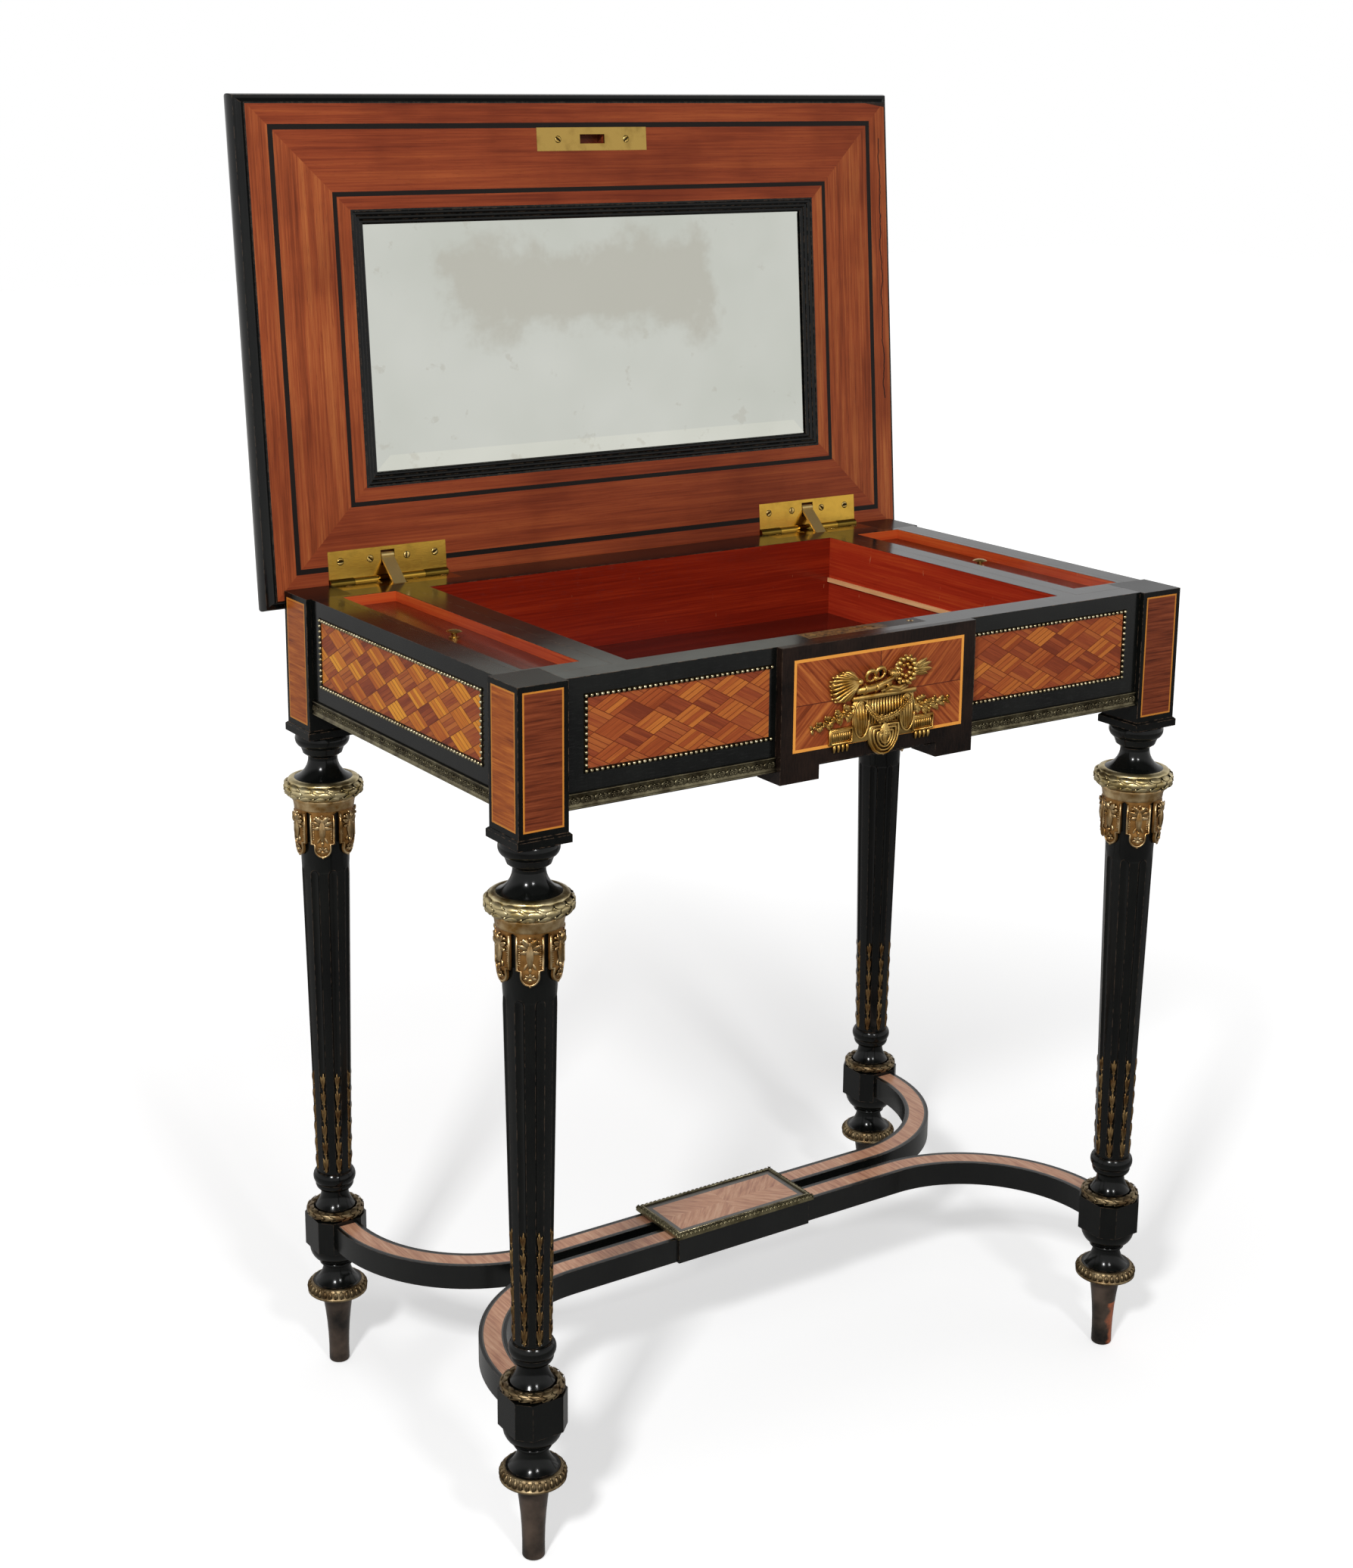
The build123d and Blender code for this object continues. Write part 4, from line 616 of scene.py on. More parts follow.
@dataclass(frozen=True)
class InlaidPost:
    """A corner post: cross-grained kingwood in a boxwood string and an ebonised border."""

    field: Vec = (17.4, 611.8, 717.4)
    string: float = 1.4
    outer_faces: float = 50.0

    def build(self) -> bpy.types.Material:
        """Builds the veneered faces of the four posts."""
        g = Finish("kingwood_veneer_boxwood_string")
        point = g.millimetres()
        x, y, z = (g.along(point, way) for way in (ACROSS, DEEP, UP))
        from_post = [
            g.add("Math.SUBTRACT", g.add("Math.ABSOLUTE", place), middle)
            for place, middle in ((x, LEG_X), (y, LEG_Y))
        ]
        normal = g.add("NewGeometry", out="True Normal")
        normal_x, normal_y = g.along(normal, ACROSS), g.along(normal, DEEP)
        facing_x = g.add("Math.GREATER_THAN", g.add("Math.ABSOLUTE", normal_x), 0.7)
        facing = (g.add("Math.MULTIPLY", normal_x, x), g.add("Math.MULTIPLY", normal_y, y))
        away = g.add("Math.MAXIMUM", *facing)
        outward = g.add("Math.GREATER_THAN", away, self.outer_faces)
        across = g.add("Mix", facing_x, *from_post)
        # Faces that look to either side take the lighter copy of the kingwood and the front and back faces
        # the darker one: painted light, as the lamp at the left lights the side faces.
        deep, skin = KINGWOOD.paint(g, z, across)
        lit_side, _ = LIT_SIDE_KINGWOOD.paint(g, z, across, 12.0)
        ebony, rough = EbonisedPear(wear=0.8).shade(g)
        within = g.inside(across, z, *self.field)
        field = g.add("Math.MULTIPLY", g.add("Math.GREATER_THAN", within, 0.0), outward)
        colour = g.add("Mix.RGBA", field, ebony, g.add("Mix.RGBA", facing_x, deep, lit_side))
        string = g.add("Math.MULTIPLY", g.band(within, 0.0, self.string), outward)
        colour = g.add("Mix.RGBA", string, colour, BOXWOOD)
        rough = g.add("Math.MULTIPLY_ADD", rough, 0.8, 0.1)
        return g.finish(colour, rough, skin, 0.03, gloss=VENEER_GLOSS)


@dataclass(frozen=True)
class QuarteredTablet:
    """The front tablet: four kingwood quarters with their grain towards the middle, in a boxwood string."""

    field: Vec = (85.2, 636.6, 711.0)
    middle_z: float = 674.0
    string: float = 2.5
    seam: str = "#4a1d14"
    boxwood: str = "#dd9440"

    def build(self) -> bpy.types.Material:
        """Builds the quartered field and the ebonised border round it."""
        g = Finish("kingwood_quartered_boxwood_string")
        point = g.millimetres()
        x, z = g.along(point, ACROSS), g.along(point, UP, self.middle_z)
        across, along, _ = g.quartered(x, z)
        right = g.add("Math.MULTIPLY", g.add("Math.SIGN", x), 7.0)
        quarter = g.add("Math.ADD", right, g.add("Math.MULTIPLY", g.add("Math.SIGN", z), 3.0))
        colour, skin = TABLET_KINGWOOD.paint(g, across, along, quarter)
        seam = g.add("Math.MINIMUM", g.add("Math.ABSOLUTE", x), g.add("Math.ABSOLUTE", z))
        seam = g.add("Math.SUBTRACT", 1.0, g.add("MapRange.SMOOTHSTEP", seam, 0.1, 0.6))
        colour = g.add("Mix.RGBA", seam, colour, self.seam)
        ebony, rough = EbonisedPear(stain="#2a1d17").shade(g)
        within = g.inside(x, g.add("Math.ADD", z, self.middle_z), *self.field)
        normal = g.add("NewGeometry", out="True Normal")
        front = g.add("Math.GREATER_THAN", g.add("Math.MULTIPLY", g.along(normal, DEEP), -1.0), 0.8)
        field = g.add("Math.MULTIPLY", front, g.add("Math.GREATER_THAN", within, 0.0))
        string = g.add("Math.MULTIPLY", front, g.band(within, 0.0, self.string))
        colour = g.add("Mix.RGBA", string, g.add("Mix.RGBA", field, ebony, colour), self.boxwood)
        rough = g.add("Math.MULTIPLY_ADD", rough, 0.7, 0.1)
        return g.finish(colour, rough, skin, 0.03, gloss=VENEER_GLOSS)


@dataclass(frozen=True)
class Lining:
    """Polished mahogany of the well, the partitions and the sunk covers, or bare beech of the runners."""

    name: str
    direction: Vec
    cross: Vec
    wood: Grain = RED_MAHOGANY
    ebonised_top: float = 0.0
    ebonised_out: tuple[float, float] = (-1000.0, 1000.0)
    raw_below: float = 0.0
    scratched: str = "#c98a63"
    polish: float = 0.2

    def build(self) -> bpy.types.Material:
        """Builds the wood, ebonised on the case's top and outside the well, and raw underneath."""
        g = Finish(self.name)
        point = g.millimetres()
        y, z = g.along(point, DEEP), g.along(point, UP)
        colour, skin = self.wood.paint(g, g.along(point, self.cross), g.along(point, self.direction))
        lines = g.add("TexNoise", g.add("VectorMath.MULTIPLY", point, (1.0, 0.5, 0.14)), 0.5, 2.0, SOFT)
        scratch = g.add("MapRange.SMOOTHSTEP", lines, 0.72, 0.78, 0.0, 0.35)
        colour = g.add("Mix.RGBA", scratch, colour, self.scratched)
        rough: Any = self.polish
        if self.raw_below:
            cloud = g.add("TexNoise", point, 0.04, 4.0, SOFT)
            raw = g.add("ValToRGB", cloud, stops=((0.35, "#3e3226"), (0.7, "#5c4c3a")))
            colour = g.add("Mix.RGBA", g.add("Math.LESS_THAN", z, self.raw_below), colour, raw)
        if self.ebonised_top:
            ebony, ebony_rough = EbonisedPear(wear=0.9).shade(g)
            front, back = self.ebonised_out
            beyond = g.add("Math.GREATER_THAN", y, back)
            black = g.add("Math.MAXIMUM", g.add("Math.LESS_THAN", y, front), beyond)
            black = g.add("Math.MAXIMUM", g.add("Math.GREATER_THAN", z, self.ebonised_top), black)
            colour = g.add("Mix.RGBA", black, colour, ebony)
            more = g.add("Math.SUBTRACT", ebony_rough, self.polish)
            rough = g.add("Math.MULTIPLY_ADD", black, more, self.polish)
        return g.finish(colour, rough, skin, 0.04, gloss=0.35)


@dataclass(frozen=True)
class BandedTop:
    """Ebonised pear with a faded kingwood veneer let into its upper face."""

    name: str = "kingwood_banded_stretcher"
    platform: bool = False
    level: float = 144.6
    field: Vec = (64.5, -23.5, 23.5)
    bow_radius: float = 128.25
    bow_depth: float = 17.75
    half_strip: float = 7.4
    edge_line: float = 1.3
    dusty: str = "#6a6660"

    def build(self) -> bpy.types.Material:
        """Builds the veneered upper face and the black sides."""
        g = Finish(self.name)
        point = g.millimetres()
        x, y, z = (g.along(point, way) for way in (ACROSS, DEEP, UP))
        ebony, rough = EbonisedPear().shade(g)
        top = g.add("Math.GREATER_THAN", z, self.level)
        if self.platform:
            veneer, skin = FADED_KINGWOOD.paint(g, *g.quartered(x, y))
            within = g.inside(x, y, *self.field)
            border = g.add("Math.MULTIPLY", top, 0.9)
        else:
            veneer, skin = FADED_KINGWOOD.paint(g, x, y)
            within = self.strip(g, x, y)
            line = g.add("Math.MULTIPLY", g.band(within, -self.edge_line, 0.0), 0.6)
            border = g.add("Math.MULTIPLY", top, line)
        field = g.add("Math.MULTIPLY", top, g.add("Math.GREATER_THAN", within, 0.0))
        colour = g.add("Mix.RGBA", field, g.add("Mix.RGBA", border, ebony, self.dusty), veneer)
        return g.finish(colour, g.add("Math.MULTIPLY_ADD", rough, 0.8, 0.1), skin, 0.03)

    def strip(self, g: Graph, x: Any, y: Any) -> Any:
        """Returns how far inside the veneer of a bowed rail a point lies."""
        turn_x, turn_y = LEG_X - self.bow_radius, self.bow_depth + self.bow_radius
        dx = g.add("Math.MAXIMUM", g.add("Math.SUBTRACT", g.add("Math.ABSOLUTE", x), turn_x), 0.0)
        dy = g.add("Math.MAXIMUM", g.add("Math.SUBTRACT", turn_y, g.add("Math.ABSOLUTE", y)), 0.0)
        squares = g.add("Math.ADD", g.add("Math.MULTIPLY", dx, dx), g.add("Math.MULTIPLY", dy, dy))
        off = g.add("Math.ABSOLUTE", g.add("Math.SUBTRACT", g.add("Math.SQRT", squares), self.bow_radius))
        return g.add("Math.SUBTRACT", self.half_strip, off)


def round_about(count: int, closed: bool = False) -> list[float]:
    """Returns even turns round a circle in radians, with the first again at the end if closed."""
    return [2 * pi * k / count for k in range(count + closed)]


def smooth(mesh: bpy.types.Mesh) -> bpy.types.Mesh:
    """Shades a mesh smooth and returns it."""
    for face in mesh.polygons:
        face.use_smooth = True
    return mesh


class Relief:
    """Collects the faces of a carved or cast piece, drawn on a surface as across, up and out."""

    LEAF_RIDGES = ((-1.0, 0.0), (-0.55, 1.0), (0.0, 0.45), (0.55, 1.0), (1.0, 0.0))
    LEAF_ROWS = 5

    def __init__(self, surface: Surface | None = None) -> None:
        """Starts an empty relief on a surface, or in plain millimetres."""
        self.points: list[Vec] = []
        self.faces: list[tuple[int, ...]] = []
        self.surface: Surface = surface or (lambda u, v, h: (u, v, h))

    def grid(self, rows: Sequence[Sequence[Vec]], closed: bool = False) -> None:
        """Adds rows of points joined by four-sided faces.

        Args:
            rows: Points as across, up and out.
            closed: Whether each row runs round to its start.
        """
        base, width = len(self.points), len(rows[0])
        for row in rows:
            self.points.extend(self.surface(*p) for p in row)
        for r in range(len(rows) - 1):
            for c in range(width if closed else width - 1):
                a, b = base + r * width + c, base + r * width + (c + 1) % width
                self.faces.append((a, b, b + width, a + width))

    def tube(self, path: Sequence[Vec], radii: Sequence[float], sides: int = 8, flat: float = 1.0) -> None:
        """Adds a round bar along a path, closed at both ends.

        Args:
            path: Points as across, up and out.
            radii: One radius for each point, or a single one for all.
            sides: Faces round the bar.
            flat: Share of the radius that it stands out.
        """
        rows = []
        radii = list(radii) * (len(path) if len(radii) == 1 else 1)
        for k, ((u, v, h), r) in enumerate(zip(path, radii)):
            before, after = path[max(k - 1, 0)], path[min(k + 1, len(path) - 1)]
            turn = atan2(after[1] - before[1], after[0] - before[0])
            rows.append([
                (u - r * sin(turn) * cos(t), v + r * cos(turn) * cos(t), h + r * flat * sin(t))
                for t in round_about(sides)
            ])
        self.grid([[path[0]] * sides, *rows, [path[-1]] * sides], True)

    def dome(self, place: Vec, size: Vec, turn: float = 0.0, sides: int = 8, rings: int = 3) -> None:
        """Adds a rounded boss on the ground.

        Args:
            place: Its middle across and up, and the height of its foot.
            size: Half its width, half its height and how far it stands out.
            turn: Degrees that it is turned.
            sides: Faces round it.
            rings: Rows from foot to top.
        """
        (u, v, h), (ru, rv, rise) = place, size
        c, s = cos(radians(turn)), sin(radians(turn))
        rows = []
        for lift in (pi / 2 * k / rings for k in range(rings + 1)):
            inwards = cos(lift)
            rows.append([
                (
                    u + inwards * (ru * cos(t) * c - rv * sin(t) * s),
                    v + inwards * (ru * cos(t) * s + rv * sin(t) * c),
                    h + rise * sin(lift),
                )
                for t in round_about(sides)
            ])
        self.grid(rows, True)

    def leaf(
        self, stem: Vec, length: float, width: float, turn: float, rise: float = 1.0, curl: float = 0.5
    ) -> None:
        """Adds a pointed leaf with a sunk midrib.

        Args:
            stem: Place of its stem across, up and out.
            length: From stem to tip.
            width: At its widest.
            turn: Degrees from the across direction.
            rise: How far its flanks stand out.
            curl: How far its tip lifts.
        """
        u, v, h = stem
        c, s = cos(radians(turn)), sin(radians(turn))
        rows = []
        for t in (k / self.LEAF_ROWS for k in range(self.LEAF_ROWS + 1)):
            half = width / 2 * sin(pi * min(1.0, t * 0.92 + 0.08)) ** 0.75
            row = []
            for side, lift in self.LEAF_RIDGES:
                along, across = t * length, side * half
                out = h + curl * t * t + rise * lift * sin(pi * (0.1 + 0.8 * t))
                row.append((u + along * c - across * s, v + along * s + across * c, out))
            rows.append(row)
        self.grid(rows)

    def plate(self, outline: Sequence[Spot], high: float, slope: float) -> None:
        """Adds a flat plate with sloping sides, from the ground up.

        Args:
            outline: Corners as across and up, in order.
            high: Height of its face.
            slope: How far the sides lean in.
        """
        mid_u = sum(p[0] for p in outline) / len(outline)
        mid_v = sum(p[1] for p in outline) / len(outline)
        reach = max(hypot(p[0] - mid_u, p[1] - mid_v) for p in outline)

        def ring(share: float, out: float) -> list[Vec]:
            """Returns the outline drawn in to a share of its size."""
            return [(mid_u + (u - mid_u) * share, mid_v + (v - mid_v) * share, out) for u, v in outline]

        keep = 1 - slope / reach
        self.grid([ring(1.0, 0.0), ring(1.0, high - slope), ring(keep, high), ring(0.0, high)], True)

    def mesh(self, name: str, merge: float = 0.01) -> bpy.types.Mesh:
        """Makes a plain mesh of the relief, turned from case millimetres to metres.

        Args:
            name: Name of the mesh.
            merge: Distance in millimetres below which points become one.

        Returns:
            The mesh, smooth shaded.
        """
        data = bpy.data.meshes.new(name)
        data.from_pydata([(x * MM, y * MM, z * MM) for x, y, z in self.points], [], self.faces)
        bm = bmesh.new()
        bm.from_mesh(data)
        bmesh.ops.remove_doubles(bm, verts=bm.verts, dist=merge * MM)
        bmesh.ops.dissolve_degenerate(bm, edges=bm.edges, dist=merge * MM)
        bmesh.ops.recalc_face_normals(bm, faces=bm.faces)
        bm.to_mesh(data)
        bm.free()
        return smooth(data)


@cache
def made(look: Look) -> bpy.types.Material:
    """Builds a finish when it is first asked for, and returns the same one afterwards."""
    return look.build()


def piece(
    name: str,
    mesh: bpy.types.Mesh,
    look: Look,
    *replaced: str,
    body: str = "case",
    slot: str = "gilt_bronze",
) -> None:
    """Adds a finished piece to the desk.

    Args:
        name: The piece's name.
        mesh: Its mesh, in case coordinates.
        look: Its finish.
        *replaced: CAD nodes that it stands for.
        body: The body that it moves with.
        slot: The record's material slot; it is not used.
    """
    mesh.transform(Matrix.Translation((0.0, -ORIGIN_BACK * MM, 0.0)))
    mesh.materials.clear()
    mesh.materials.append(made(look))
    obj = bpy.data.objects.new(name, mesh)
    bpy.context.scene.collection.objects.link(obj)
    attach(obj, body)
    if replaced:
        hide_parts(*replaced)
    log.info("%s: %d faces on %s", name, len(mesh.polygons), body)


def dress(look: Look, *nodes: str) -> None:
    """Gives CAD nodes a better finish."""
    for name in nodes:
        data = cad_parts[name].data
        data.materials.clear()
        data.materials.append(made(look))
        log.info("%s: %s", name, made(look).name)


class Setting(Enum):
    """How an ornament is set on its carrier."""

    ALONG = "along the line at an even pitch"
    AT_POINTS = "once at each point"


@dataclass
class Carrier:
    """Lines or points that ornaments are set on, in case millimetres."""

    points: list[Vec] = field(default_factory=list)
    outward: list[Vec] = field(default_factory=list)
    onward: list[Vec] = field(default_factory=list)
    swell: list[float] = field(default_factory=list)
    lines: list[tuple[int, int]] = field(default_factory=list)

    def run(self, path: Sequence[Vec], outward: Vec) -> None:
        """Adds an open line with one outward direction.

        Args:
            path: Its points.
            outward: The direction that its ornaments face.
        """
        base = len(self.points)
        for k, point in enumerate(path):
            onward = Vector(path[min(k + 1, len(path) - 1)]) - Vector(path[max(k - 1, 0)])
            self.spot(point, outward, tuple(onward))
        self.lines.extend((base + k, base + k + 1) for k in range(len(path) - 1))

    def ring(self, centre: Spot, radius: float, z: float, count: int = 64) -> None:
        """Adds a level ring that faces outwards.

        Args:
            centre: Place of its axis.
            radius: Its radius.
            z: Its height.
            count: Points round it.
        """
        base = len(self.points)
        outs = [(cos(t), sin(t), 0.0) for t in round_about(count)]
        path = [(centre[0] + radius * x, centre[1] + radius * y, z) for x, y, _ in outs]
        for k, (point, out) in enumerate(zip(path, outs)):
            self.spot(point, out, tuple(Vector(path[(k + 1) % count]) - Vector(path[k - 1])))
        self.lines.extend((base + k, base + (k + 1) % count) for k in range(count))

    def spot(self, point: Vec, outward: Vec, onward: Vec, swell: float = 1.0) -> None:
        """Adds a single place.

        Args:
            point: The place.
            outward: The direction that its ornament faces.
            onward: The direction that its ornament points in.
            swell: The ornament's size, as a share of the motif.
        """
        self.points.append(point)
        self.outward.append(outward)
        self.onward.append(onward)
        self.swell.append(swell)


@dataclass(frozen=True)
class Ornament:
    """A motif repeated by Geometry Nodes on a carrier."""

    name: str
    motif: bpy.types.Mesh
    setting: Setting = Setting.ALONG
    spacing: float = 5.0

    def tree(self) -> bpy.types.NodeTree:
        """Builds the node tree that sets the motif.

        Returns:
            A geometry node tree with the inputs Carrier, Motif, Spacing and Finish.
        """
        tree = bpy.data.node_groups.new(f"set_{self.name}", "GeometryNodeTree")
        kinds = {"Carrier": "Geometry", "Motif": "Object", "Spacing": "Float", "Finish": "Material"}
        for label, kind in kinds.items():
            tree.interface.new_socket(label, in_out="INPUT", socket_type=f"NodeSocket{kind}")
        tree.interface.new_socket("Ornament", in_out="OUTPUT", socket_type="NodeSocketGeometry")
        g = Graph(tree)
        start = g.add("NodeGroupInput").node.outputs
        places = start["Carrier"]
        if self.setting is Setting.ALONG:
            line = {"Curve": g.add("GeometryNodeMeshToCurve", {"Mesh": places}), "Length": start["Spacing"]}
            places = g.add("GeometryNodeResampleCurve", line, mode="LENGTH")
        stored = {"onward": "FLOAT_VECTOR", "outward": "FLOAT_VECTOR", "swell": "FLOAT"}
        onward, outward, swell = (
            g.add("GeometryNodeInputNamedAttribute", {"Name": name}, data_type=kind)
            for name, kind in stored.items()
        )
        upright = g.add("FunctionNodeAlignRotationToVector", {"Vector": outward}, axis="Z")
        aim = {"Rotation": upright, "Vector": onward}
        turn = g.add("FunctionNodeAlignRotationToVector", aim, axis="X", pivot_axis="Z")
        source = {"Object": start["Motif"], "As Instance": True}
        motif = g.add("GeometryNodeObjectInfo", source, out="Geometry")
        copies = {"Points": places, "Instance": motif, "Rotation": turn, "Scale": swell}
        real = g.add("GeometryNodeRealizeInstances", g.add("GeometryNodeInstanceOnPoints", copies))
        done = g.add("GeometryNodeSetMaterial", {"Geometry": real, "Material": start["Finish"]})
        g.add("NodeGroupOutput", done)
        return tree

    def lay(self, carrier: Carrier, look: Look) -> bpy.types.Mesh:
        """Sets the motif on the carrier and returns the result as a plain mesh.

        Args:
            carrier: Where it is set.
            look: Its finish.

        Returns:
            A mesh in case coordinates, in metres.
        """
        data = bpy.data.meshes.new(f"{self.name}_carrier")
        data.from_pydata([tuple(c * MM for c in p) for p in carrier.points], carrier.lines, [])
        for key, values in (("outward", carrier.outward), ("onward", carrier.onward)):
            layer = data.attributes.new(key, "FLOAT_VECTOR", "POINT")
            layer.data.foreach_set("vector", [c for v in values for c in v])
        data.attributes.new("swell", "FLOAT", "POINT").data.foreach_set("value", carrier.swell)
        holder = bpy.data.objects.new(f"{self.name}_carrier", data)
        motif = bpy.data.objects.new(f"{self.name}_motif", self.motif)
        for obj in (holder, motif):
            bpy.context.scene.collection.objects.link(obj)
        modifier = holder.modifiers.new("set", "NODES")
        modifier.node_group = self.tree()
        values = {"Motif": motif, "Spacing": self.spacing * MM, "Finish": made(look)}
        for item in modifier.node_group.interface.items_tree:
            if item.in_out == "INPUT" and item.name in values:
                modifier[item.identifier] = values[item.name]
        depsgraph = bpy.context.evaluated_depsgraph_get()
        result = bpy.data.meshes.new_from_object(holder.evaluated_get(depsgraph), depsgraph=depsgraph)
        holder.modifiers.remove(modifier)
        for obj in (holder, motif):
            bpy.data.objects.remove(obj)
        log.info("%s: set on %d points, %d faces", self.name, len(carrier.points), len(result.polygons))
        return smooth(result)


def joined(name: str, *meshes: bpy.types.Mesh) -> bpy.types.Mesh:
    """Puts several meshes together in one new mesh."""
    bm = bmesh.new()
    for mesh in meshes:
        bm.from_mesh(mesh)
    data = bpy.data.meshes.new(name)
    bm.to_mesh(data)
    bm.free()
    return smooth(data)


def turned(name: str, profile: Sequence[Spot], centre: Spot, sides: int = 48) -> bpy.types.Mesh:
    """Turns a closed profile round an upright axis.

    Args:
        name: Name of the mesh.
        profile: Radius and height of each corner.
        centre: Place of the axis.
        sides: Faces round it.

    Returns:
        The turned mesh.
    """
    relief, (x, y) = Relief(), centre
    rows = [[(x + r * cos(t), y + r * sin(t), z) for r, z in profile] for t in round_about(sides)]
    relief.grid([*rows, rows[0]], True)
    return relief.mesh(name)


@dataclass(frozen=True)
class LegBronzes:
    """The laurel rings, lappet collars, block rings, gadroon rings and husk chains of the four legs."""

    laurel_z: float = 551.3
    laurel_r: float = 27.2
    laurel_core: float = 6.7
    laurel_leaf: float = 11.5
    laurels: int = 16
    shaft_r: float = 25.0
    lip: tuple[Spot, ...] = ((0, 0), (5.2, 0), (6.2, 1.6), (5.2, 3.6), (2.4, 4.6), (0.6, 4.7), (0, 4.3))
    lip_up: float = 4.2
    collar_r: float = 25.5
    collar_top: float = 542.0
    collar_taper: float = 0.11
    lappets: int = 6
    slot_top: float = 533.6
    slot_half: float = 2.4
    slot_foot: float = 514.0
    shoulder: float = 504.6
    lobe_r: float = 7.65
    lobe_z: float = 500.4
    edge: float = 2.4
    bands: tuple[Spot, ...] = (
        (0, 0), (1.1, 0.5), (0.8, 1.4), (1.4, 2.2), (1.0, 3.0), (1.6, 3.9), (1.3, 4.8), (2.4, 6.4),
        (2.6, 8.6), (2.2, 11.4), (0, 11.4),
    )
    bands_up: float = 0.4
    block_z: float = 152.5
    block_r: float = 21.6
    block_oval: Spot = (3.6, 3.8)
    block_core: float = 4.0
    block_leaf: float = 8.2
    block_laurels: int = 17
    block_hole: float = 18.1
    gadroon_z: float = 76.0
    gadroon_r: float = 25.0
    gadroon_pitch: float = 2 * pi * 25.2 / 30
    cup: tuple[Spot, ...] = (
        (21.9, 70.5), (26.0, 70.6), (26.9, 71.4), (26.9, 72.6), (26.0, 73.4), (25.3, 74.2), (24.9, 78.4),
        (23.2, 81.3), (21.9, 81.4),
    )
    flutes: int = 8
    flute_turn: float = 36.5
    flute_low: float = 190.5
    flute_r: float = 14.7
    flute_slope: float = 0.0183
    husk_low: float = 191.0
    husk_high: float = 289.0
    husks: int = 6

    def laurel_motif(self, core: float, length: float, name: str, rise: float = 0.19) -> bpy.types.Mesh:
        """Builds a bunch of laurel that wraps a round ring: leaves in five rows with berries between.

        Args:
            core: Radius of the ring's section in millimetres.
            length: Length of a leaf.
            name: Name of the motif.
            rise: How far the leaves stand out, as a share of the core.

        Returns:
            The motif's mesh, along X and outwards in Z.
        """
        relief = Relief(lambda u, v, h: (u, (core + h) * sin(v / core), (core + h) * cos(v / core)))
        width, back = core * 0.95, -length * 0.42
        rows = ((0.0, 0.0, 0.0), (width, back, -14.0), (-width, back, 14.0), (core * 1.9, 0.0, -10.0))
        for v, lead, lean in (*rows, (-core * 1.9, 0.0, 10.0)):
            relief.leaf((lead - length / 2, v, -0.25), length, width, lean, rise * core, 0.04 * core)
        for v, lead in ((core * 0.5, length * 0.22), (-core * 0.5, length * 0.3)):
            berry = (core * 0.15, core * 0.15, core * 0.19)
            relief.dome((lead - length * 0.1, v, 0.0), berry, sides=6, rings=2)
        return relief.mesh(name)

    def husk_motif(self) -> bpy.types.Mesh:
        """Builds a bellflower husk: a bud between two leaves, tip forwards, on a cord."""
        relief = Relief()
        relief.leaf((0.0, 0.0, 0.2), 17.0, 3.0, 0.0, 1.5, -0.6)
        for side in (-1.0, 1.0):
            relief.leaf((4.2, side * 0.5, 0.5), 10.0, 1.9, side * 9.0, 1.1, 0.5)
            relief.dome((3.4, side * 0.9, 0.3), (0.9, 0.7, 1.2), sides=6, rings=2)
        return relief.mesh("husk_motif")

    def gadroon_motif(self) -> bpy.types.Mesh:
        """Builds one upright leaf of the gadroon, a narrow one beside it and the bead above."""
        relief = Relief()
        relief.leaf((-0.4, -3.0, 0.6), 7.4, 3.6, 84.0, 2.2, -1.9)
        relief.leaf((1.7, -2.8, 0.3), 6.0, 1.6, 98.0, 1.2, -1.4)
        relief.dome((-0.2, 3.9, -1.2), (1.2, 1.0, 1.0), sides=6, rings=2)
        return relief.mesh("gadroon_motif")

    def wrap(self, centre: Spot) -> Surface:
        """Returns the collar's surface: round, and drawn in below its shoulders."""

        def surface(u: float, v: float, h: float) -> Vec:
            """Places an arc length, a height and a relief."""
            r = self.collar_r - self.collar_taper * max(0.0, self.shoulder - v) + h
            return centre[0] + r * sin(u / self.collar_r), centre[1] - r * cos(u / self.collar_r), v

        return surface

    def half_width(self, v: float) -> float:
        """Returns half the width of a lappet at a height."""
        pitch = pi * self.collar_r / self.lappets
        head = self.slot_top - self.slot_half
        if v >= self.slot_top:
            return pitch
        if v > head:
            return pitch - (max(0.0, self.slot_half**2 - (v - head) ** 2)) ** 0.5
        if v > self.shoulder:
            return pitch - self.slot_half
        return (max(0.2, self.lobe_r**2 - min(0.0, v - self.lobe_z) ** 2)) ** 0.5

    def plate(self, relief: Relief, middle: float) -> None:
        """Draws the plate of one lappet with its slots, shoulders and round lobe."""
        levels = [self.collar_top, self.slot_top + 0.3, *(self.slot_top - 0.4 * k for k in range(7))]
        levels += [524.0, self.slot_foot, self.shoulder + 0.05, self.shoulder]
        levels += [self.lobe_z - self.lobe_r * sin(pi / 2 * k / 8) for k in range(9)]
        rows = []
        for v in levels:
            half = self.half_width(v)
            face = [(middle + half * q / 4, v, 0.0) for q in range(-4, 5)]
            rows.append([(middle - half, v, -self.edge), *face, (middle + half, v, -self.edge)])
        rows.append([(middle, self.lobe_z - self.lobe_r - 0.1, -self.edge)] * 11)
        relief.grid(rows)

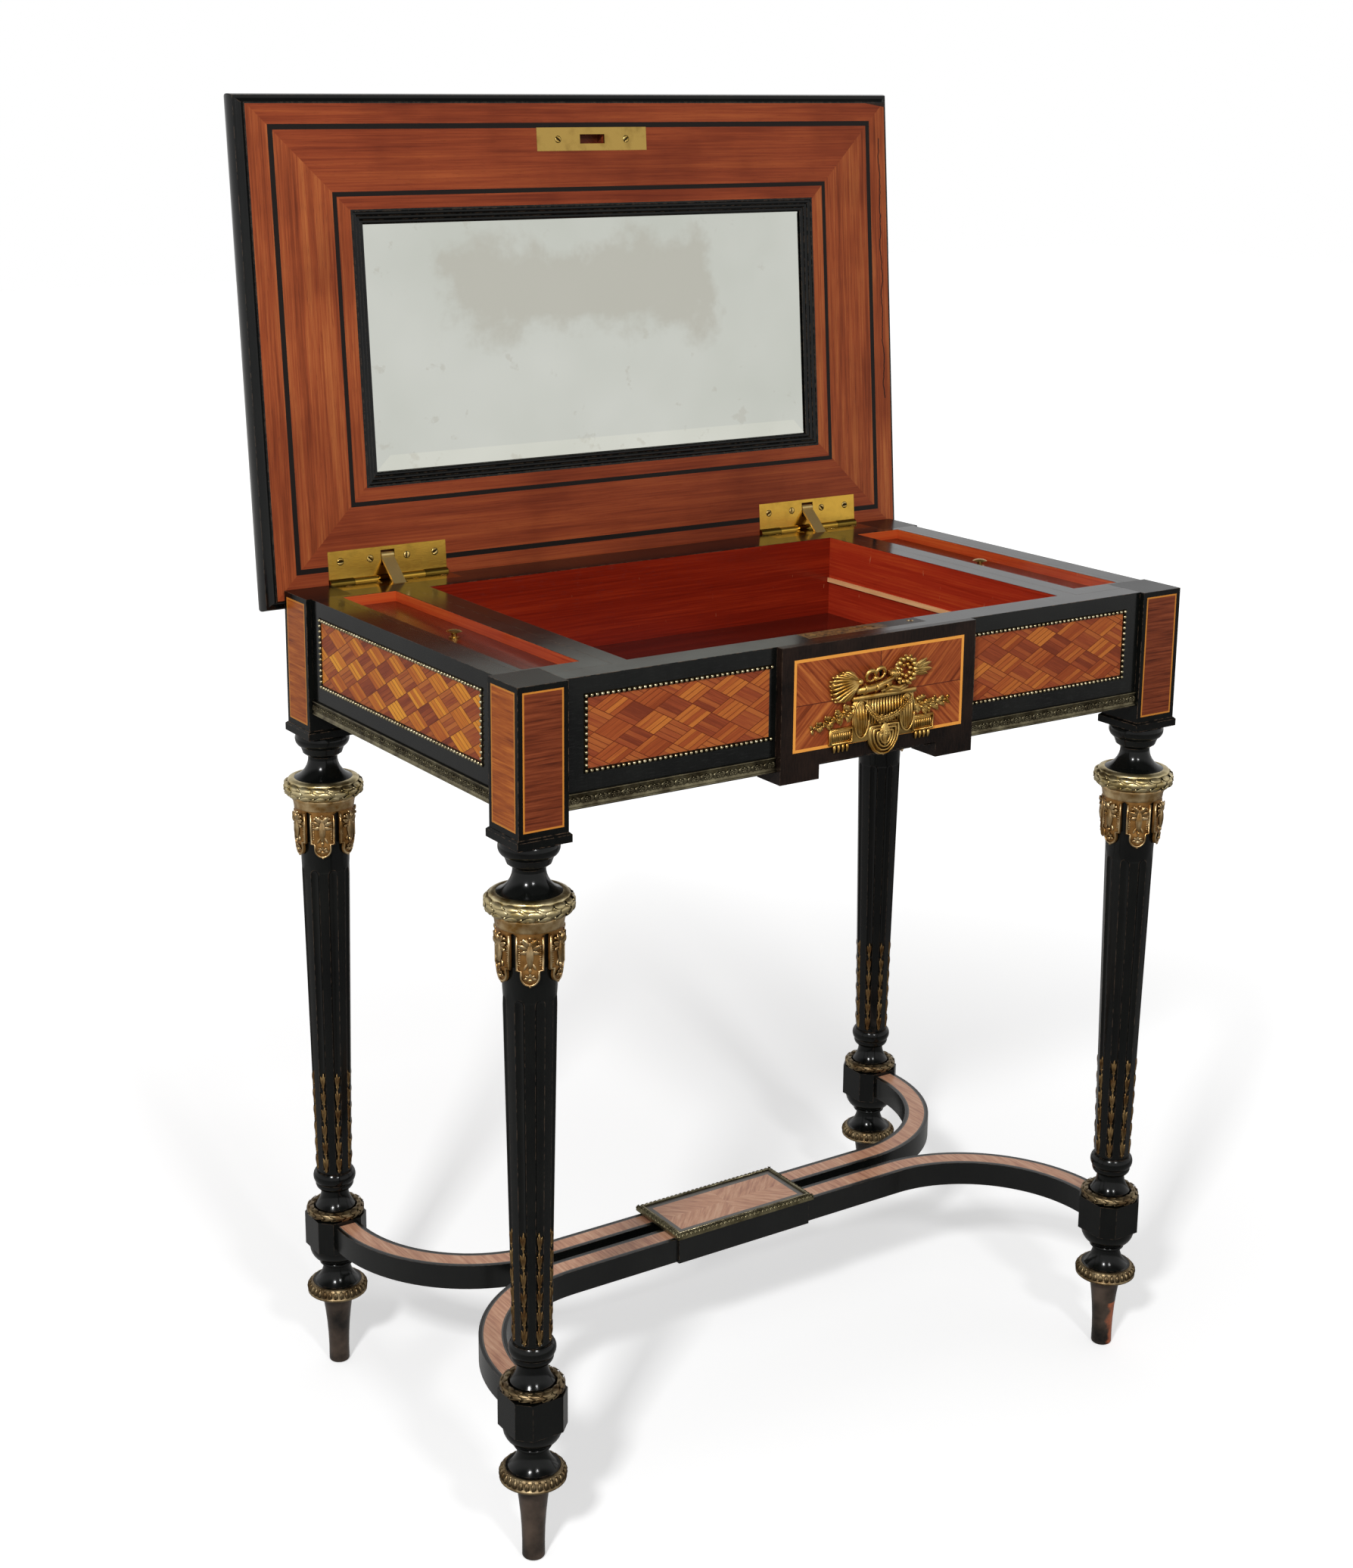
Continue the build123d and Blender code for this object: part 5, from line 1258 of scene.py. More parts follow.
    def lappet(self, relief: Relief, middle: float) -> None:
        """Draws the ornament of one lappet: a raised rim, a palmette, a long drop and a shell at the foot.

        Args:
            relief: The relief on the collar's surface.
            middle: The lappet's middle as an arc length round the collar.
        """
        half = self.half_width(self.slot_foot) - 0.9
        lobe = self.lobe_r - 0.8
        rim = [(-half, v, 0.1) for v in (self.slot_top - 2.0, 520.0, self.shoulder + 1.0)]
        rim += [(-lobe, self.shoulder + 0.6, 0.1)]
        quarter = [pi / 2 * k / 6 for k in range(7)]
        rim += [(-lobe * cos(t), self.lobe_z - lobe * sin(t), 0.1) for t in quarter]
        rim += [(-u, v, h) for u, v, h in rim[-2::-1]]
        relief.tube([(middle + u, v, h) for u, v, h in rim], [0.95], 6, 0.95)
        for u, v in ((-2.5, 529.4), (0.0, 531.2), (2.5, 529.4)):
            relief.dome((middle + u, v, 0.2), (1.3, 1.3, 1.5), sides=7, rings=2)
        for side in (-1.0, 1.0):
            for off, v, length, width, lean, rise, curl in (
                (0.8, 523.6, 8.6, 4.8, 30.0, 2.2, 1.8),
                (0.8, 522.0, 8.6, 4.4, 62.0, 2.0, 1.5),
                (0.8, 520.4, 6.6, 3.6, 98.0, 1.2, 0.9),
            ):
                relief.leaf((middle + side * off, v, 0.3), length, width, 90.0 - side * lean, rise, curl)
            relief.dome((middle + side * 6.2, 528.6, 0.9), (1.3, 1.3, 1.3), sides=6, rings=2)
            relief.leaf((middle + side * 2.0, 511.0, 0.2), 5.4, 2.2, 90.0 - side * 152.0, 0.8, 0.5)
            for v in (509.5 + 1.7 * k for k in range(9)):
                inner, outer = (middle + side * (half - off) for off in (3.0, 0.9))
                relief.tube([(inner, v, 0.05), (outer, v + 0.3, 0.05)], [0.42], 5, 0.9)
        relief.leaf((middle, 528.0, 0.3), 21.5, 6.0, 270.0, 2.6, 0.6)
        relief.dome((middle, 506.6, 0.3), (1.5, 2.2, 1.9))
        for turn in (90.0, 45.0, 135.0, 5.0, 175.0):
            relief.leaf((middle, self.lobe_z - 1.6, 0.3), 5.0, 2.6, turn, 0.9, 0.9)
        relief.dome((middle, self.lobe_z - 2.2, 0.4), (2.2, 1.9, 1.9))
        relief.dome((middle, self.lobe_z - self.lobe_r + 0.1, -0.4), (1.3, 1.3, 1.6), sides=7, rings=2)

    def wreath(self, corner: str, centre: Spot, laurel: bpy.types.Mesh) -> None:
        """Builds the laurel ring of one leg, with the lip above it."""
        ring, r, z, core = Carrier(), self.laurel_r, self.laurel_z, self.laurel_core
        hole = self.shaft_r - 0.05
        ring.ring(centre, r, z)
        leaves = Ornament("laurel", laurel, spacing=2 * pi * r / self.laurels).lay(ring, LAUREL_GILT)
        section = [(max(hole, r + core * cos(t)), z + core * sin(t)) for t in round_about(16)]
        lip = [(self.shaft_r + out, z + self.lip_up + up) for out, up in self.lip]
        rings = [turned("laurel_core", section, centre), turned("laurel_rim", lip, centre)]
        wreath = joined("laurel_wreath", leaves, *rings)
        piece(f"laurel_wreath_{corner}", wreath, LAUREL_GILT, f"laurel_ring_{corner}")

    def collar(self, corner: str, centre: Spot) -> None:
        """Builds the collar of one leg: its plain lappets, their ornament and the bands above."""
        surface = self.wrap(centre)
        plates, relief = Relief(surface), Relief(surface)
        for k in range(self.lappets):
            middle = 2 * pi * self.collar_r * (k + 0.5) / self.lappets
            self.plate(plates, middle)
            self.lappet(relief, middle)
        field_mesh = plates.mesh("lappet_fields")
        piece(f"lappet_fields_{corner}", field_mesh, MATTED_GILT, f"lappet_collar_{corner}")
        low = self.slot_top + self.bands_up
        bands = turned("lappet_bands", [(self.shaft_r + out, low + up) for out, up in self.bands], centre)
        lappets = joined("lappets", relief.mesh("lappet_ornament"), bands)
        piece(f"lappet_relief_{corner}", lappets, COLLAR_GILT)

    def hang(self, husks: Carrier, centre: Spot) -> None:
        """Marks the places of one leg's husks, smaller towards the top."""
        for k in range(self.flutes):
            turn = radians(self.flute_turn + 360 / self.flutes * k)
            x, y = cos(turn), sin(turn)
            for n in range(self.husks):
                z = self.husk_low + (self.husk_high - self.husk_low) * n / self.husks
                r = self.flute_r + self.flute_slope * (z - self.flute_low)
                onward = (self.flute_slope * x, self.flute_slope * y, 1.0)
                husks.spot((centre[0] + x * r, centre[1] + y * r, z), (x, y, 0.0), onward, 1.1 - 0.03 * n)

    def build(self) -> None:
        """Builds the bronzes of each leg and stands them for the CAD rings."""
        husks, blocks, gadroons = Carrier(), Carrier(), Carrier()
        laurel = self.laurel_motif(self.laurel_core, self.laurel_leaf, "laurel_motif")
        ovals, cups = [], []
        z, r, (out, up) = self.block_z, self.block_r, self.block_oval
        oval = [(max(self.block_hole, r + out * cos(t)), z + up * sin(t)) for t in round_about(12)]
        for corner, (sx, sy) in CORNERS.items():
            centre = (sx * LEG_X, sy * LEG_Y)
            self.wreath(corner, centre, laurel)
            self.collar(corner, centre)
            self.hang(husks, centre)
            blocks.ring(centre, r, z)
            ovals.append(turned("block_core", oval, centre, 40))
            gadroons.ring(centre, self.gadroon_r, self.gadroon_z)
            cups.append(turned("gadroon_core", self.cup, centre, 40))
        husk = Ornament("husk", self.husk_motif(), Setting.AT_POINTS)
        piece("husk_chains", husk.lay(husks, COPPER), COPPER)
        small = self.laurel_motif(self.block_core, self.block_leaf, "small_laurel_motif", 0.17)
        small = Ornament("block_laurel", small, spacing=2 * pi * r / self.block_laurels)
        small = joined("block_wreaths", small.lay(blocks, DARK_BRONZE), *ovals)
        piece("block_ring_wreaths", small, DARK_BRONZE, "block_rings")
        lobe = Ornament("gadroon", self.gadroon_motif(), spacing=self.gadroon_pitch)
        lobes = joined("gadroon_wreaths", lobe.lay(gadroons, DARK_BRONZE), *cups)
        piece("gadroon_wreaths", lobes, DARK_BRONZE, "gadroon_rings")


@dataclass(frozen=True)
class FriezeBronzes:
    """The beaded frames round the parquetry and the leaf strips below, on all four sides."""

    face_x: float = 325.5
    face_y: float = 193.0
    low: float = 648.0
    high: float = 709.0
    long_end: float = 271.5
    tablet_end: float = 100.0
    short_end: float = 139.0
    bead: float = 3.1
    neck: float = 0.35
    pitch: float = 4.6
    inset: float = 1.85
    fillet: tuple[Spot, ...] = ((-1.75, 0.0), (-1.5, 0.35), (1.5, 0.35), (1.75, 0.0))
    strip_low: float = 622.7
    strip_high: float = 634.7
    strip_long: float = 287.0
    strip_tablet: float = 97.0
    strip_short: float = 154.5
    strip_edge: tuple[Spot, ...] = ((0.0, 0.0), (0.0, 1.9), (0.5, 2.4), (1.1, 1.9), (1.5, 1.2))
    leaf_pitch: float = 11.6
    leaf_inset: float = 6.0

    def side(self, name: str) -> tuple[Surface, Vec]:
        """Returns the surface of one side of the case and its outward direction."""
        surfaces: dict[str, Surface] = {
            "front": lambda u, v, h: (u, -self.face_y - h, v),
            "back": lambda u, v, h: (-u, self.face_y + h, v),
            "left": lambda u, v, h: (-self.face_x - h, -u, v),
            "right": lambda u, v, h: (self.face_x + h, u, v),
        }
        surface = surfaces[name]
        return surface, tuple(Vector(surface(0.0, 0.0, 1.0)) - Vector(surface(0.0, 0.0, 0.0)))

    def spans(self, far: float, near: float, short: float) -> list[tuple[str, float, float]]:
        """Returns the side and the two ends of each field, in the order that they are set."""
        front = [("front", -far, -near), ("front", near, far)]
        return [*front, ("left", -short, short), ("right", -short, short), ("back", -far, far)]

    def bead_motif(self) -> bpy.types.Mesh:
        """Builds one half-round bead on a short neck."""
        relief, r = Relief(), self.bead / 2
        relief.dome((0.0, 0.0, self.neck), (r, r, r), sides=10, rings=4)
        turns = round_about(10)
        relief.grid([[(r * cos(t), r * sin(t), h) for t in turns] for h in (0.0, self.neck)], True)
        return relief.mesh("bead_motif")

    def strip_motif(self) -> bpy.types.Mesh:
        """Builds one repeat of the strip: a rosette between curled leaves."""
        relief = Relief()
        for turn in range(0, 360, 72):
            relief.leaf((0.0, 0.0, 0.0), 2.7, 2.0, turn + 18.0, 0.9, 0.4)
        relief.dome((0.0, 0.0, 0.3), (0.8, 0.8, 0.7), sides=6, rings=2)
        for side in (-1.0, 1.0):
            relief.leaf((side * 2.6, -2.4, 0.0), 4.6, 2.2, 90.0 - side * 48.0, 1.0, 0.5)
            relief.leaf((side * 2.6, 2.4, 0.0), 4.6, 2.2, 270.0 + side * 48.0, 1.0, 0.5)
            relief.leaf((side * 2.2, 0.0, 0.0), 4.2, 1.8, 90.0 - side * 90.0, 1.1, 0.2)
        return relief.mesh("strip_motif")

    def bead_frames(self) -> None:
        """Builds the beads of all frames in one piece and, in another, the fillets below them, near-black
        as painted shade between the beads.
        """
        beads, fillets = Carrier(), Relief()
        low, high = self.low + self.inset, self.high - self.inset
        for name, start, end in self.spans(self.long_end, self.tablet_end, self.short_end):
            surface, out = self.side(name)
            fillets.surface = surface
            first, last = start + self.inset, end - self.inset
            for v in (low, high):
                beads.run([surface(first, v, 0.2), surface(last, v, 0.2)], out)
                fillets.grid([[(start, v + d, h), (end, v + d, h)] for d, h in self.fillet])
            for u, edge in ((first, start), (last, end)):
                if abs(edge) != self.tablet_end:
                    beads.run([surface(u, low + self.pitch, 0.2), surface(u, high - self.pitch, 0.2)], out)
                    fillets.grid([[(u + d, self.low, h), (u + d, self.high, h)] for d, h in self.fillet])
        rows = Ornament("bead", self.bead_motif(), spacing=self.pitch).lay(beads, BEAD_GILT)
        piece("bead_rows", rows, BEAD_GILT, "bead_frames")
        # The fillets below the beads are near-black, painted shade between the beads.
        piece("bead_grounds", fillets.mesh("bead_fillets"), PAINTED_SHADE_BRONZE)

    def leaf_strips(self) -> None:
        """Builds the moulded strips below the panels with their leaves, in one piece."""
        leaves, base = Carrier(), Relief()
        middle = (self.strip_low + self.strip_high) / 2
        profile = [(self.strip_low + up, out) for up, out in self.strip_edge]
        profile += [(self.strip_high - up, out) for up, out in self.strip_edge[::-1]]
        ground = self.strip_edge[-1][1]
        for name, start, end in self.spans(self.strip_long, self.strip_tablet, self.strip_short):
            base.surface, out = self.side(name)
            base.grid([[(u, v, h) for v, h in profile] for u in (start, end)], True)
            ends = (start + self.leaf_inset, end - self.leaf_inset)
            leaves.run([base.surface(u, middle, ground) for u in ends], out)
        motifs = Ornament("strip_leaf", self.strip_motif(), spacing=self.leaf_pitch).lay(leaves, STRIP_GILT)
        strips = joined("leaf_strips", motifs, base.mesh("strip_bases"))
        piece("frieze_leaf_strips", strips, STRIP_GILT, "frieze_strips")

    def build(self) -> None:
        """Builds the beads and the strips, each for all sides in one piece."""
        self.bead_frames()
        self.leaf_strips()


def box(left: float, low: float, right: float, high: float) -> list[Spot]:
    """Returns the corners of an upright rectangle."""
    return [(left, low), (right, low), (right, high), (left, high)]


def between(a: Vec, b: Vec, share: float) -> Vec:
    """Returns the point at a share of the way from one point to another."""
    return tuple(p + (q - p) * share for p, q in zip(a, b))


def heading(a: Vec, b: Vec) -> float:
    """Returns the direction from one point to another in degrees."""
    return atan2(b[1] - a[1], b[0] - a[0]) * 180 / pi


@dataclass(frozen=True)
class TrophyMount:
    """The bronze on the tablet: a fluted drapery tablet, a pendant, side blocks, garlands and a trophy."""

    ground: float = 200.0
    pendant_u: float = 2.5
    pendant_v: float = 638.0
    tongue: tuple[Spot, ...] = (
        (0.0, 649.0), (9.0, 649.4), (15.3, 649.0), (15.9, 642.0), (14.2, 634.5), (10.0, 628.0),
        (4.6, 624.4), (0.0, 623.8),
    )
    swag: tuple[Vec, ...] = (
        (-17.0, 668.5, 4.6), (-13.0, 662.0, 5.4), (-8.0, 657.0, 6.0), (-2.0, 654.6, 6.4), (6.0, 655.2, 6.4),
        (13.0, 657.5, 6.0), (20.0, 661.5, 5.6), (27.0, 667.5, 5.0),
    )
    tails: tuple[tuple[Vec, ...], ...] = (
        ((-30.0, 664.5, 1.2), (-42.0, 661.0, 1.2), (-55.0, 657.0, 0.9), (-67.0, 654.4, 0.6)),
        ((35.0, 662.5, 1.2), (46.0, 657.4, 1.2), (57.0, 659.4, 0.9), (67.0, 660.0, 0.6)),
    )
    ribbons: tuple[tuple[Vec, ...], ...] = (
        ((-2.0, 676.4, 3.6), (6.0, 679.8, 5.0), (14.0, 677.4, 5.4), (22.0, 679.6, 4.4)),
        ((2.0, 675.8, 3.0), (10.0, 677.0, 4.8), (17.0, 675.8, 4.8), (25.0, 677.4, 3.6)),
    )

    def drapery(self, r: Relief) -> None:
        """Draws the fluted tablet, its two lobes, the swag and the rosettes."""
        r.plate(box(-28.5, 637.5, 32.8, 673.0), 2.2, 0.6)
        r.plate(box(-30.0, 671.6, 34.2, 675.2), 4.0, 0.8)
        for u in (-12.6 + 2.9 * k for k in range(12)):
            r.tube([(u, 671.0, 2.4), (u, 660.0, 3.0), (u, 650.5, 2.4)], [0.95, 1.05, 0.85], 7)
        for u in (-20.0, 26.0):
            r.dome((u, 656.0, 1.8), (7.6, 16.0, 1.4), sides=20, rings=4)
            for q in (-1.5, -0.5, 0.5, 1.5):
                crest = (u + 2.8 * q, 656.0, 3.5 - 0.25 * abs(q))
                fold = [(u + 2.9 * q, 668.0, 2.7), crest, (u + 1.9 * q, 643.5, 2.6)]
                r.tube(fold, [0.6, 0.85, 0.5], 6, 0.9)
            rim = [(u + 7.4 * cos(t), 656.0 + 15.6 * sin(t), 2.6) for t in round_about(24, True)]
            r.tube(rim, [0.85], 6)
        self.garland(r, self.swag, 2.5)
        self.rosette(r, (-2.9, 654.4, 6.2), 4.6)
        self.rosette(r, (7.4, 655.6, 6.0), 3.8)

    def rosette(self, r: Relief, place: Vec, size: float) -> None:
        """Draws a six-petalled flower with a beaded heart."""
        u, v, h = place
        for turn in range(15, 375, 60):
            r.leaf((u, v, h - 0.6), size, size * 0.66, turn, 1.1, 0.6)
        r.dome(place, (size * 0.34, size * 0.34, size * 0.3), rings=2)
        for t in round_about(8):
            bead = (u + size * 0.44 * cos(t), v + size * 0.44 * sin(t), h + 0.3)
            r.dome(bead, (0.6, 0.6, 0.6), sides=5, rings=1)

    def garland(self, r: Relief, path: Sequence[Vec], size: float) -> None:
        """Draws a rope of leaves and berries along a path.

        Args:
            r: The relief.
            path: Its middle line.
            size: Half its width.
        """
        r.tube(path, [size * 0.5], 6, 0.7)
        steps = 4
        for k, (a, b) in enumerate(zip(path, path[1:])):
            for q in range(steps):
                u, v, h = between(a, b, q / steps)
                for side in (-1.0, 1.0):
                    turn = heading(a, b) + side * (52.0 + 9.0 * ((k + q) % 3))
                    r.leaf((u, v, h), size * 1.25, size * 0.62, turn, 0.7, 0.4)
                if (k + q) % 2 == 0:
                    berry = (size * 0.3, size * 0.3, size * 0.32)
                    r.dome((u, v + size * 0.2, h + size * 0.25), berry, sides=6, rings=2)

    def tail(self, r: Relief, path: Sequence[Vec], size: float) -> None:
        """Draws a side garland: sprigs of small leaves and berries that narrow to a tip."""
        count = 9
        for k in range(count):
            t = k / (count - 1)
            n = min(int(t * (len(path) - 1)), len(path) - 2)
            u, v, h = between(path[n], path[n + 1], t * (len(path) - 1) - n)
            s, sway = size * (1.0 - 0.55 * t), (-1) ** k
            for q, lean in enumerate((-68.0, -22.0, 30.0, 74.0)):
                turn = heading(path[n], path[n + 1]) + lean + 17.0 * (-1) ** (k + q)
                r.leaf((u, v, h), s * (1.2 + 0.22 * ((k + q) % 3)), s * 0.8, turn, 1.6, 1.8)
            r.dome((u + 0.8, v + s * 0.42 * sway, h + 1.2), (s * 0.3, s * 0.3, s * 0.4), sides=7)
            small = (s * 0.24, s * 0.24, s * 0.32)
            r.dome((u - 1.2, v - s * 0.34 * sway, h + 1.0), small, sides=6, rings=2)
        r.tube(path, [1.0, 0.9, 0.7, 0.4], 6, 0.8)

    def pendant(self, r: Relief) -> None:
        """Draws the ridged tongue between its leaves."""
        mid_u, mid_v = self.pendant_u, self.pendant_v
        outline = [(mid_u + u, v) for u, v in self.tongue]
        outline += [(mid_u - u, v) for u, v in self.tongue[-2:0:-1]]
        r.plate(outline, 3.0, 0.8)
        for share, out in ((0.92, 3.1), (0.71, 3.8), (0.5, 4.4), (0.3, 4.8)):
            ring = [(mid_u + (u - mid_u) * share, mid_v + (v - mid_v) * share, out) for u, v in outline]
            r.tube([*ring, ring[0]], [0.95], 6, 1.1)
        r.leaf((mid_u, 650.0, 4.4), 19.0, 6.0, 270.0, 1.6, 0.6)
        for side in (-1.0, 1.0):
            r.leaf((mid_u, 650.0, 4.0), 15.0, 4.6, 270.0 + side * 24.0, 1.4, 0.6)

    def block(self, r: Relief, left: float, right: float) -> None:
        """Draws a side block: a framed row of flutes with four drops below."""
        r.plate(box(left, 638.0, right, 651.4), 2.4, 0.6)
        corners = box(left + 1.2, 639.2, right - 1.2, 650.2)
        r.tube([(u, v, 2.5) for u, v in (*corners, corners[0])], [0.85], 6)
        for u in (left + 3.6 + (right - left - 7.2) * k / 8 for k in range(9)):
            r.tube([(u, 641.4, 2.4), (u, 648.2, 2.4)], [0.75], 6)
        for u in ((left + right) / 2 - 6.3 + 4.2 * k for k in range(4)):
            r.tube([(u, 638.6, 1.4), (u, 635.0, 1.6), (u, 631.6, 1.2)], [1.2, 1.5, 0.8], 6)

    def plumes(self, r: Relief) -> None:
        """Draws the feathered bulb at the trophy's left."""
        r.dome((-36.6, 685.4, 0.6), (13.6, 11.4, 4.6), 24.0, 20, 4)
        for k in range(12):
            a = radians(104.0 + 14.5 * k)
            far = 12.6 + 3.4 * cos(a - radians(214.0)) + 1.1 * sin(5.0 * k)
            end_u, end_v = -36.4 + far * cos(a), 685.8 + 0.92 * far * sin(a)
            bend = ((-24.6 + end_u) / 2 + 2.6 * sin(2.0 * a), (687.6 + end_v) / 2 + 2.2, 7.4)
            plume = [(-24.6, 687.6, 5.0), bend, (end_u + 2.4, end_v + 0.6, 4.8), (end_u, end_v, 2.2)]
            r.tube(plume, [0.9, 1.55, 1.35, 0.7], 7, 0.9)
            r.dome((end_u, end_v, 1.8), (1.3, 1.3, 1.8), sides=6, rings=2)
        r.dome((-24.4, 687.4, 3.6), (3.4, 3.0, 3.6), sides=10)

    def trophy(self, r: Relief) -> None:
        """Draws the quiver, the bow, the shell, the wreath of berries, the ribbons and the arrows."""
        r.tube([(-27.0, 679.4, 3.4), (-14.0, 680.6, 4.2), (6.0, 682.4, 4.2)], [2.7, 3.3, 3.3], 12, 0.9)
        r.tube([(-20.0, 676.6, 2.6), (-4.0, 683.0, 5.4), (8.0, 687.0, 5.4)], [1.6, 2.0, 2.2], 10, 0.9)
        for u in (-19.0, -8.0, 2.0):
            r.tube([(u - 0.2, 676.6, 3.6), (u, 681.0, 8.0), (u + 0.3, 685.0, 3.8)], [0.9, 1.1, 0.9], 6)
        turns = round_about(14, True)
        for u, v in ((-13.4, 690.6), (-4.2, 691.8)):
            loop = [(u + 4.6 * cos(t), v + 4.6 * sin(t), 4.6 + 0.8 * sin(t)) for t in turns]
            r.tube(loop, [1.5 + 0.4 * sin(t) for t in turns], 7, 0.9)
        r.dome((-8.8, 688.4, 4.4), (2.6, 2.4, 2.8))
        r.dome((9.6, 689.6, 2.4), (4.6, 4.4, 5.6), sides=12, rings=4)
        for k in range(5):
            rib = [(5.6 + 1.7 * k, 686.2, 4.0), (6.0 + 1.8 * k, 690.0, 8.2), (5.8 + 1.8 * k, 693.4, 4.2)]
            r.tube(rib, [0.5, 0.7, 0.5], 5)
        for t in round_about(13):
            u, v = 22.8 + 9.0 * cos(t), 690.6 + 9.6 * sin(t)
            r.dome((u, v, 2.6), (2.5, 2.5, 3.4))
            r.leaf((u, v, 3.4), 5.0, 3.2, t * 180 / pi + 55.0, 1.2, 1.0)
        for t in round_about(7):
            inner = (22.8 + 4.6 * cos(t + 0.3), 690.6 + 4.8 * sin(t + 0.3), 2.6)
            r.dome(inner, (1.9, 1.9, 2.4), sides=7, rings=2)
        for path in self.ribbons:
            r.tube(path, [1.2, 1.9, 1.9, 1.0], 8, 0.8)
        for lean, reach in ((32.0, 17.0), (16.0, 19.5), (0.0, 20.0), (-13.0, 16.0)):
            r.leaf((31.0, 688.4, 1.4), reach, 5.6, lean, 1.3, 0.8)
            u, v = (0.85 * reach * part for part in (cos(radians(lean)), sin(radians(lean))))
            r.tube([(29.0, 688.0, 2.4), (31.0 + u, 688.4 + v, 3.0)], [0.7, 0.4], 5)

    def build(self) -> None:
        """Builds the mount and stands it for the CAD mount."""
        r = Relief(lambda u, v, h: (u, -self.ground - h, v))
        self.pendant(r)
        self.block(r, -51.0, -28.0)
        self.block(r, 31.5, 54.0)
        self.drapery(r)
        self.plumes(r)
        self.trophy(r)
        for path in self.tails:
            self.tail(r, path, 6.4)
        piece("trophy_mount", r.mesh("trophy_mount"), GiltBronze(), "tablet_mount")


@dataclass(frozen=True)
class Fasteners:
    """Countersunk slotted brass screws in the hinges, the strike plate and the lock plate."""

    head: float = 5.6
    slot_half: float = 0.46
    proud: float = 0.13
    # How far the painted shadow under a head reaches beyond it.
    shadow_rim: float = 0.45
    hinge_x: tuple[float, ...] = (182.8, 210.4, 246.3, 274.9)
    case_y: float = 184.5
    lid_up: float = 18.6
    strike: Spot = (36.0, 373.8)
    lock: Spot = (49.0, -175.0)
    case_top: float = 722.0

    def heads(self) -> bpy.types.Mesh:
        """Builds the two halves of one slotted head, a hair proud of its plate."""
        relief, r, half = Relief(), self.head / 2, self.slot_half
        for side in (-1.0, 1.0):
            arc = [(r * cos(t), side * max(half, r * sin(t))) for t in (pi * q / 10 for q in range(11))]
            relief.grid([
                [(u, v, 0.0) for u, v in arc],
                [(u * 0.95, v * 0.95 + side * 0.02, self.proud) for u, v in arc],
                [(u * 0.95, side * half, self.proud) for u, v in arc],
                [(u * 0.95, side * half, 0.0) for u, v in arc],
            ])
        return relief.mesh("screw_heads")

    def shade(self) -> bpy.types.Mesh:
        """Builds the dark disc under the head: painted shadow that shows round the head and in its slot."""
        relief, r = Relief(), self.head / 2 + self.shadow_rim
        relief.dome((0.0, 0.0, 0.0), (r, r, 0.05), sides=16, rings=1)
        return relief.mesh("screw_painted_shadow")

    def build(self) -> None:
        """Sets the screws of the lid and of the case."""
        lid, case = Carrier(), Carrier()
        out = (0.0, -cos(LEAN), sin(LEAN))
        for side in (-1.0, 1.0):
            for k, x in enumerate(self.hinge_x):
                turn = radians(35.0 + 50.0 * k)
                lid.spot(lid_point(side * x, self.lid_up, 0.03), out, (cos(turn), 0.0, sin(turn)))
                case.spot((side * x, self.case_y, self.case_top + 0.03), UP, (cos(turn), sin(turn), 0.0))
            strike = lid_point(side * self.strike[0], self.strike[1], 0.03)
            lid.spot(strike, out, (cos(0.7 * side), 0.0, sin(0.7 * side)))
            case.spot((side * self.lock[0], self.lock[1], self.case_top + 0.02), UP, (1.0, side, 0.0))
        # The dark discs under the heads are painted shadow in the slots and round the heads.
        looks = (("screws", self.heads(), SCREW_BRASS), ("screw_seats", self.shade(), PAINTED_SHADE_BRONZE))
        for name, motif, look in looks:
            ornament = Ornament(name, motif, Setting.AT_POINTS)
            piece(f"lid_{name}", ornament.lay(lid, look), look, body="lid", slot="brass")
            piece(f"case_{name}", ornament.lay(case, look), look, slot="brass")


@dataclass(frozen=True)
class PlatformEdge:
    """Leaves along the sloping bronze edge of the stretcher's platform."""

    half_w: float = 73.75
    half_d: float = 33.25
    z: float = 150.3
    tilt: float = 0.8
    pitch: float = 4.6
    fillet_in: float = 2.7
    fillet_up: float = 1.15

    def motif(self) -> bpy.types.Mesh:
        """Builds two pointed leaves of the edge that lean together."""
        relief = Relief()
        relief.leaf((-1.6, -1.5, 0.0), 4.2, 2.2, 52.0, 0.8, 0.2)
        relief.leaf((1.6, -1.5, 0.0), 4.2, 2.2, 128.0, 0.8, 0.2)
        return relief.mesh("edge_motif")

    def build(self) -> None:
        """Sets the leaves on the four sides and lays the pale inner fillet."""
        carrier, (w, d, z), tilt = Carrier(), (self.half_w, self.half_d, self.z), self.tilt
        carrier.run([(-w, -d, z), (w, -d, z)], (0.0, -tilt, tilt))
        carrier.run([(w, d, z), (-w, d, z)], (0.0, tilt, tilt))
        carrier.run([(w, -d, z), (w, d, z)], (tilt, 0.0, tilt))
        carrier.run([(-w, d, z), (-w, -d, z)], (-tilt, 0.0, tilt))
        leaves = Ornament("edge_leaf", self.motif(), spacing=self.pitch).lay(carrier, OLIVE_GILT)
        piece("platform_leaves", leaves, OLIVE_GILT)
        fillet = Relief()
        a, b, top = w - self.fillet_in, d - self.fillet_in, z + self.fillet_up
        path = [(0.0, -b), (a, -b), (a, b), (-a, b), (-a, -b), (0.0, -b)]
        fillet.tube([(x, y, top) for x, y in path], [0.6, 0.85, 0.85, 0.85, 0.85, 0.6], 8, 0.8)
        piece("platform_fillet", fillet.mesh("platform_fillet"), BEAD_GILT)


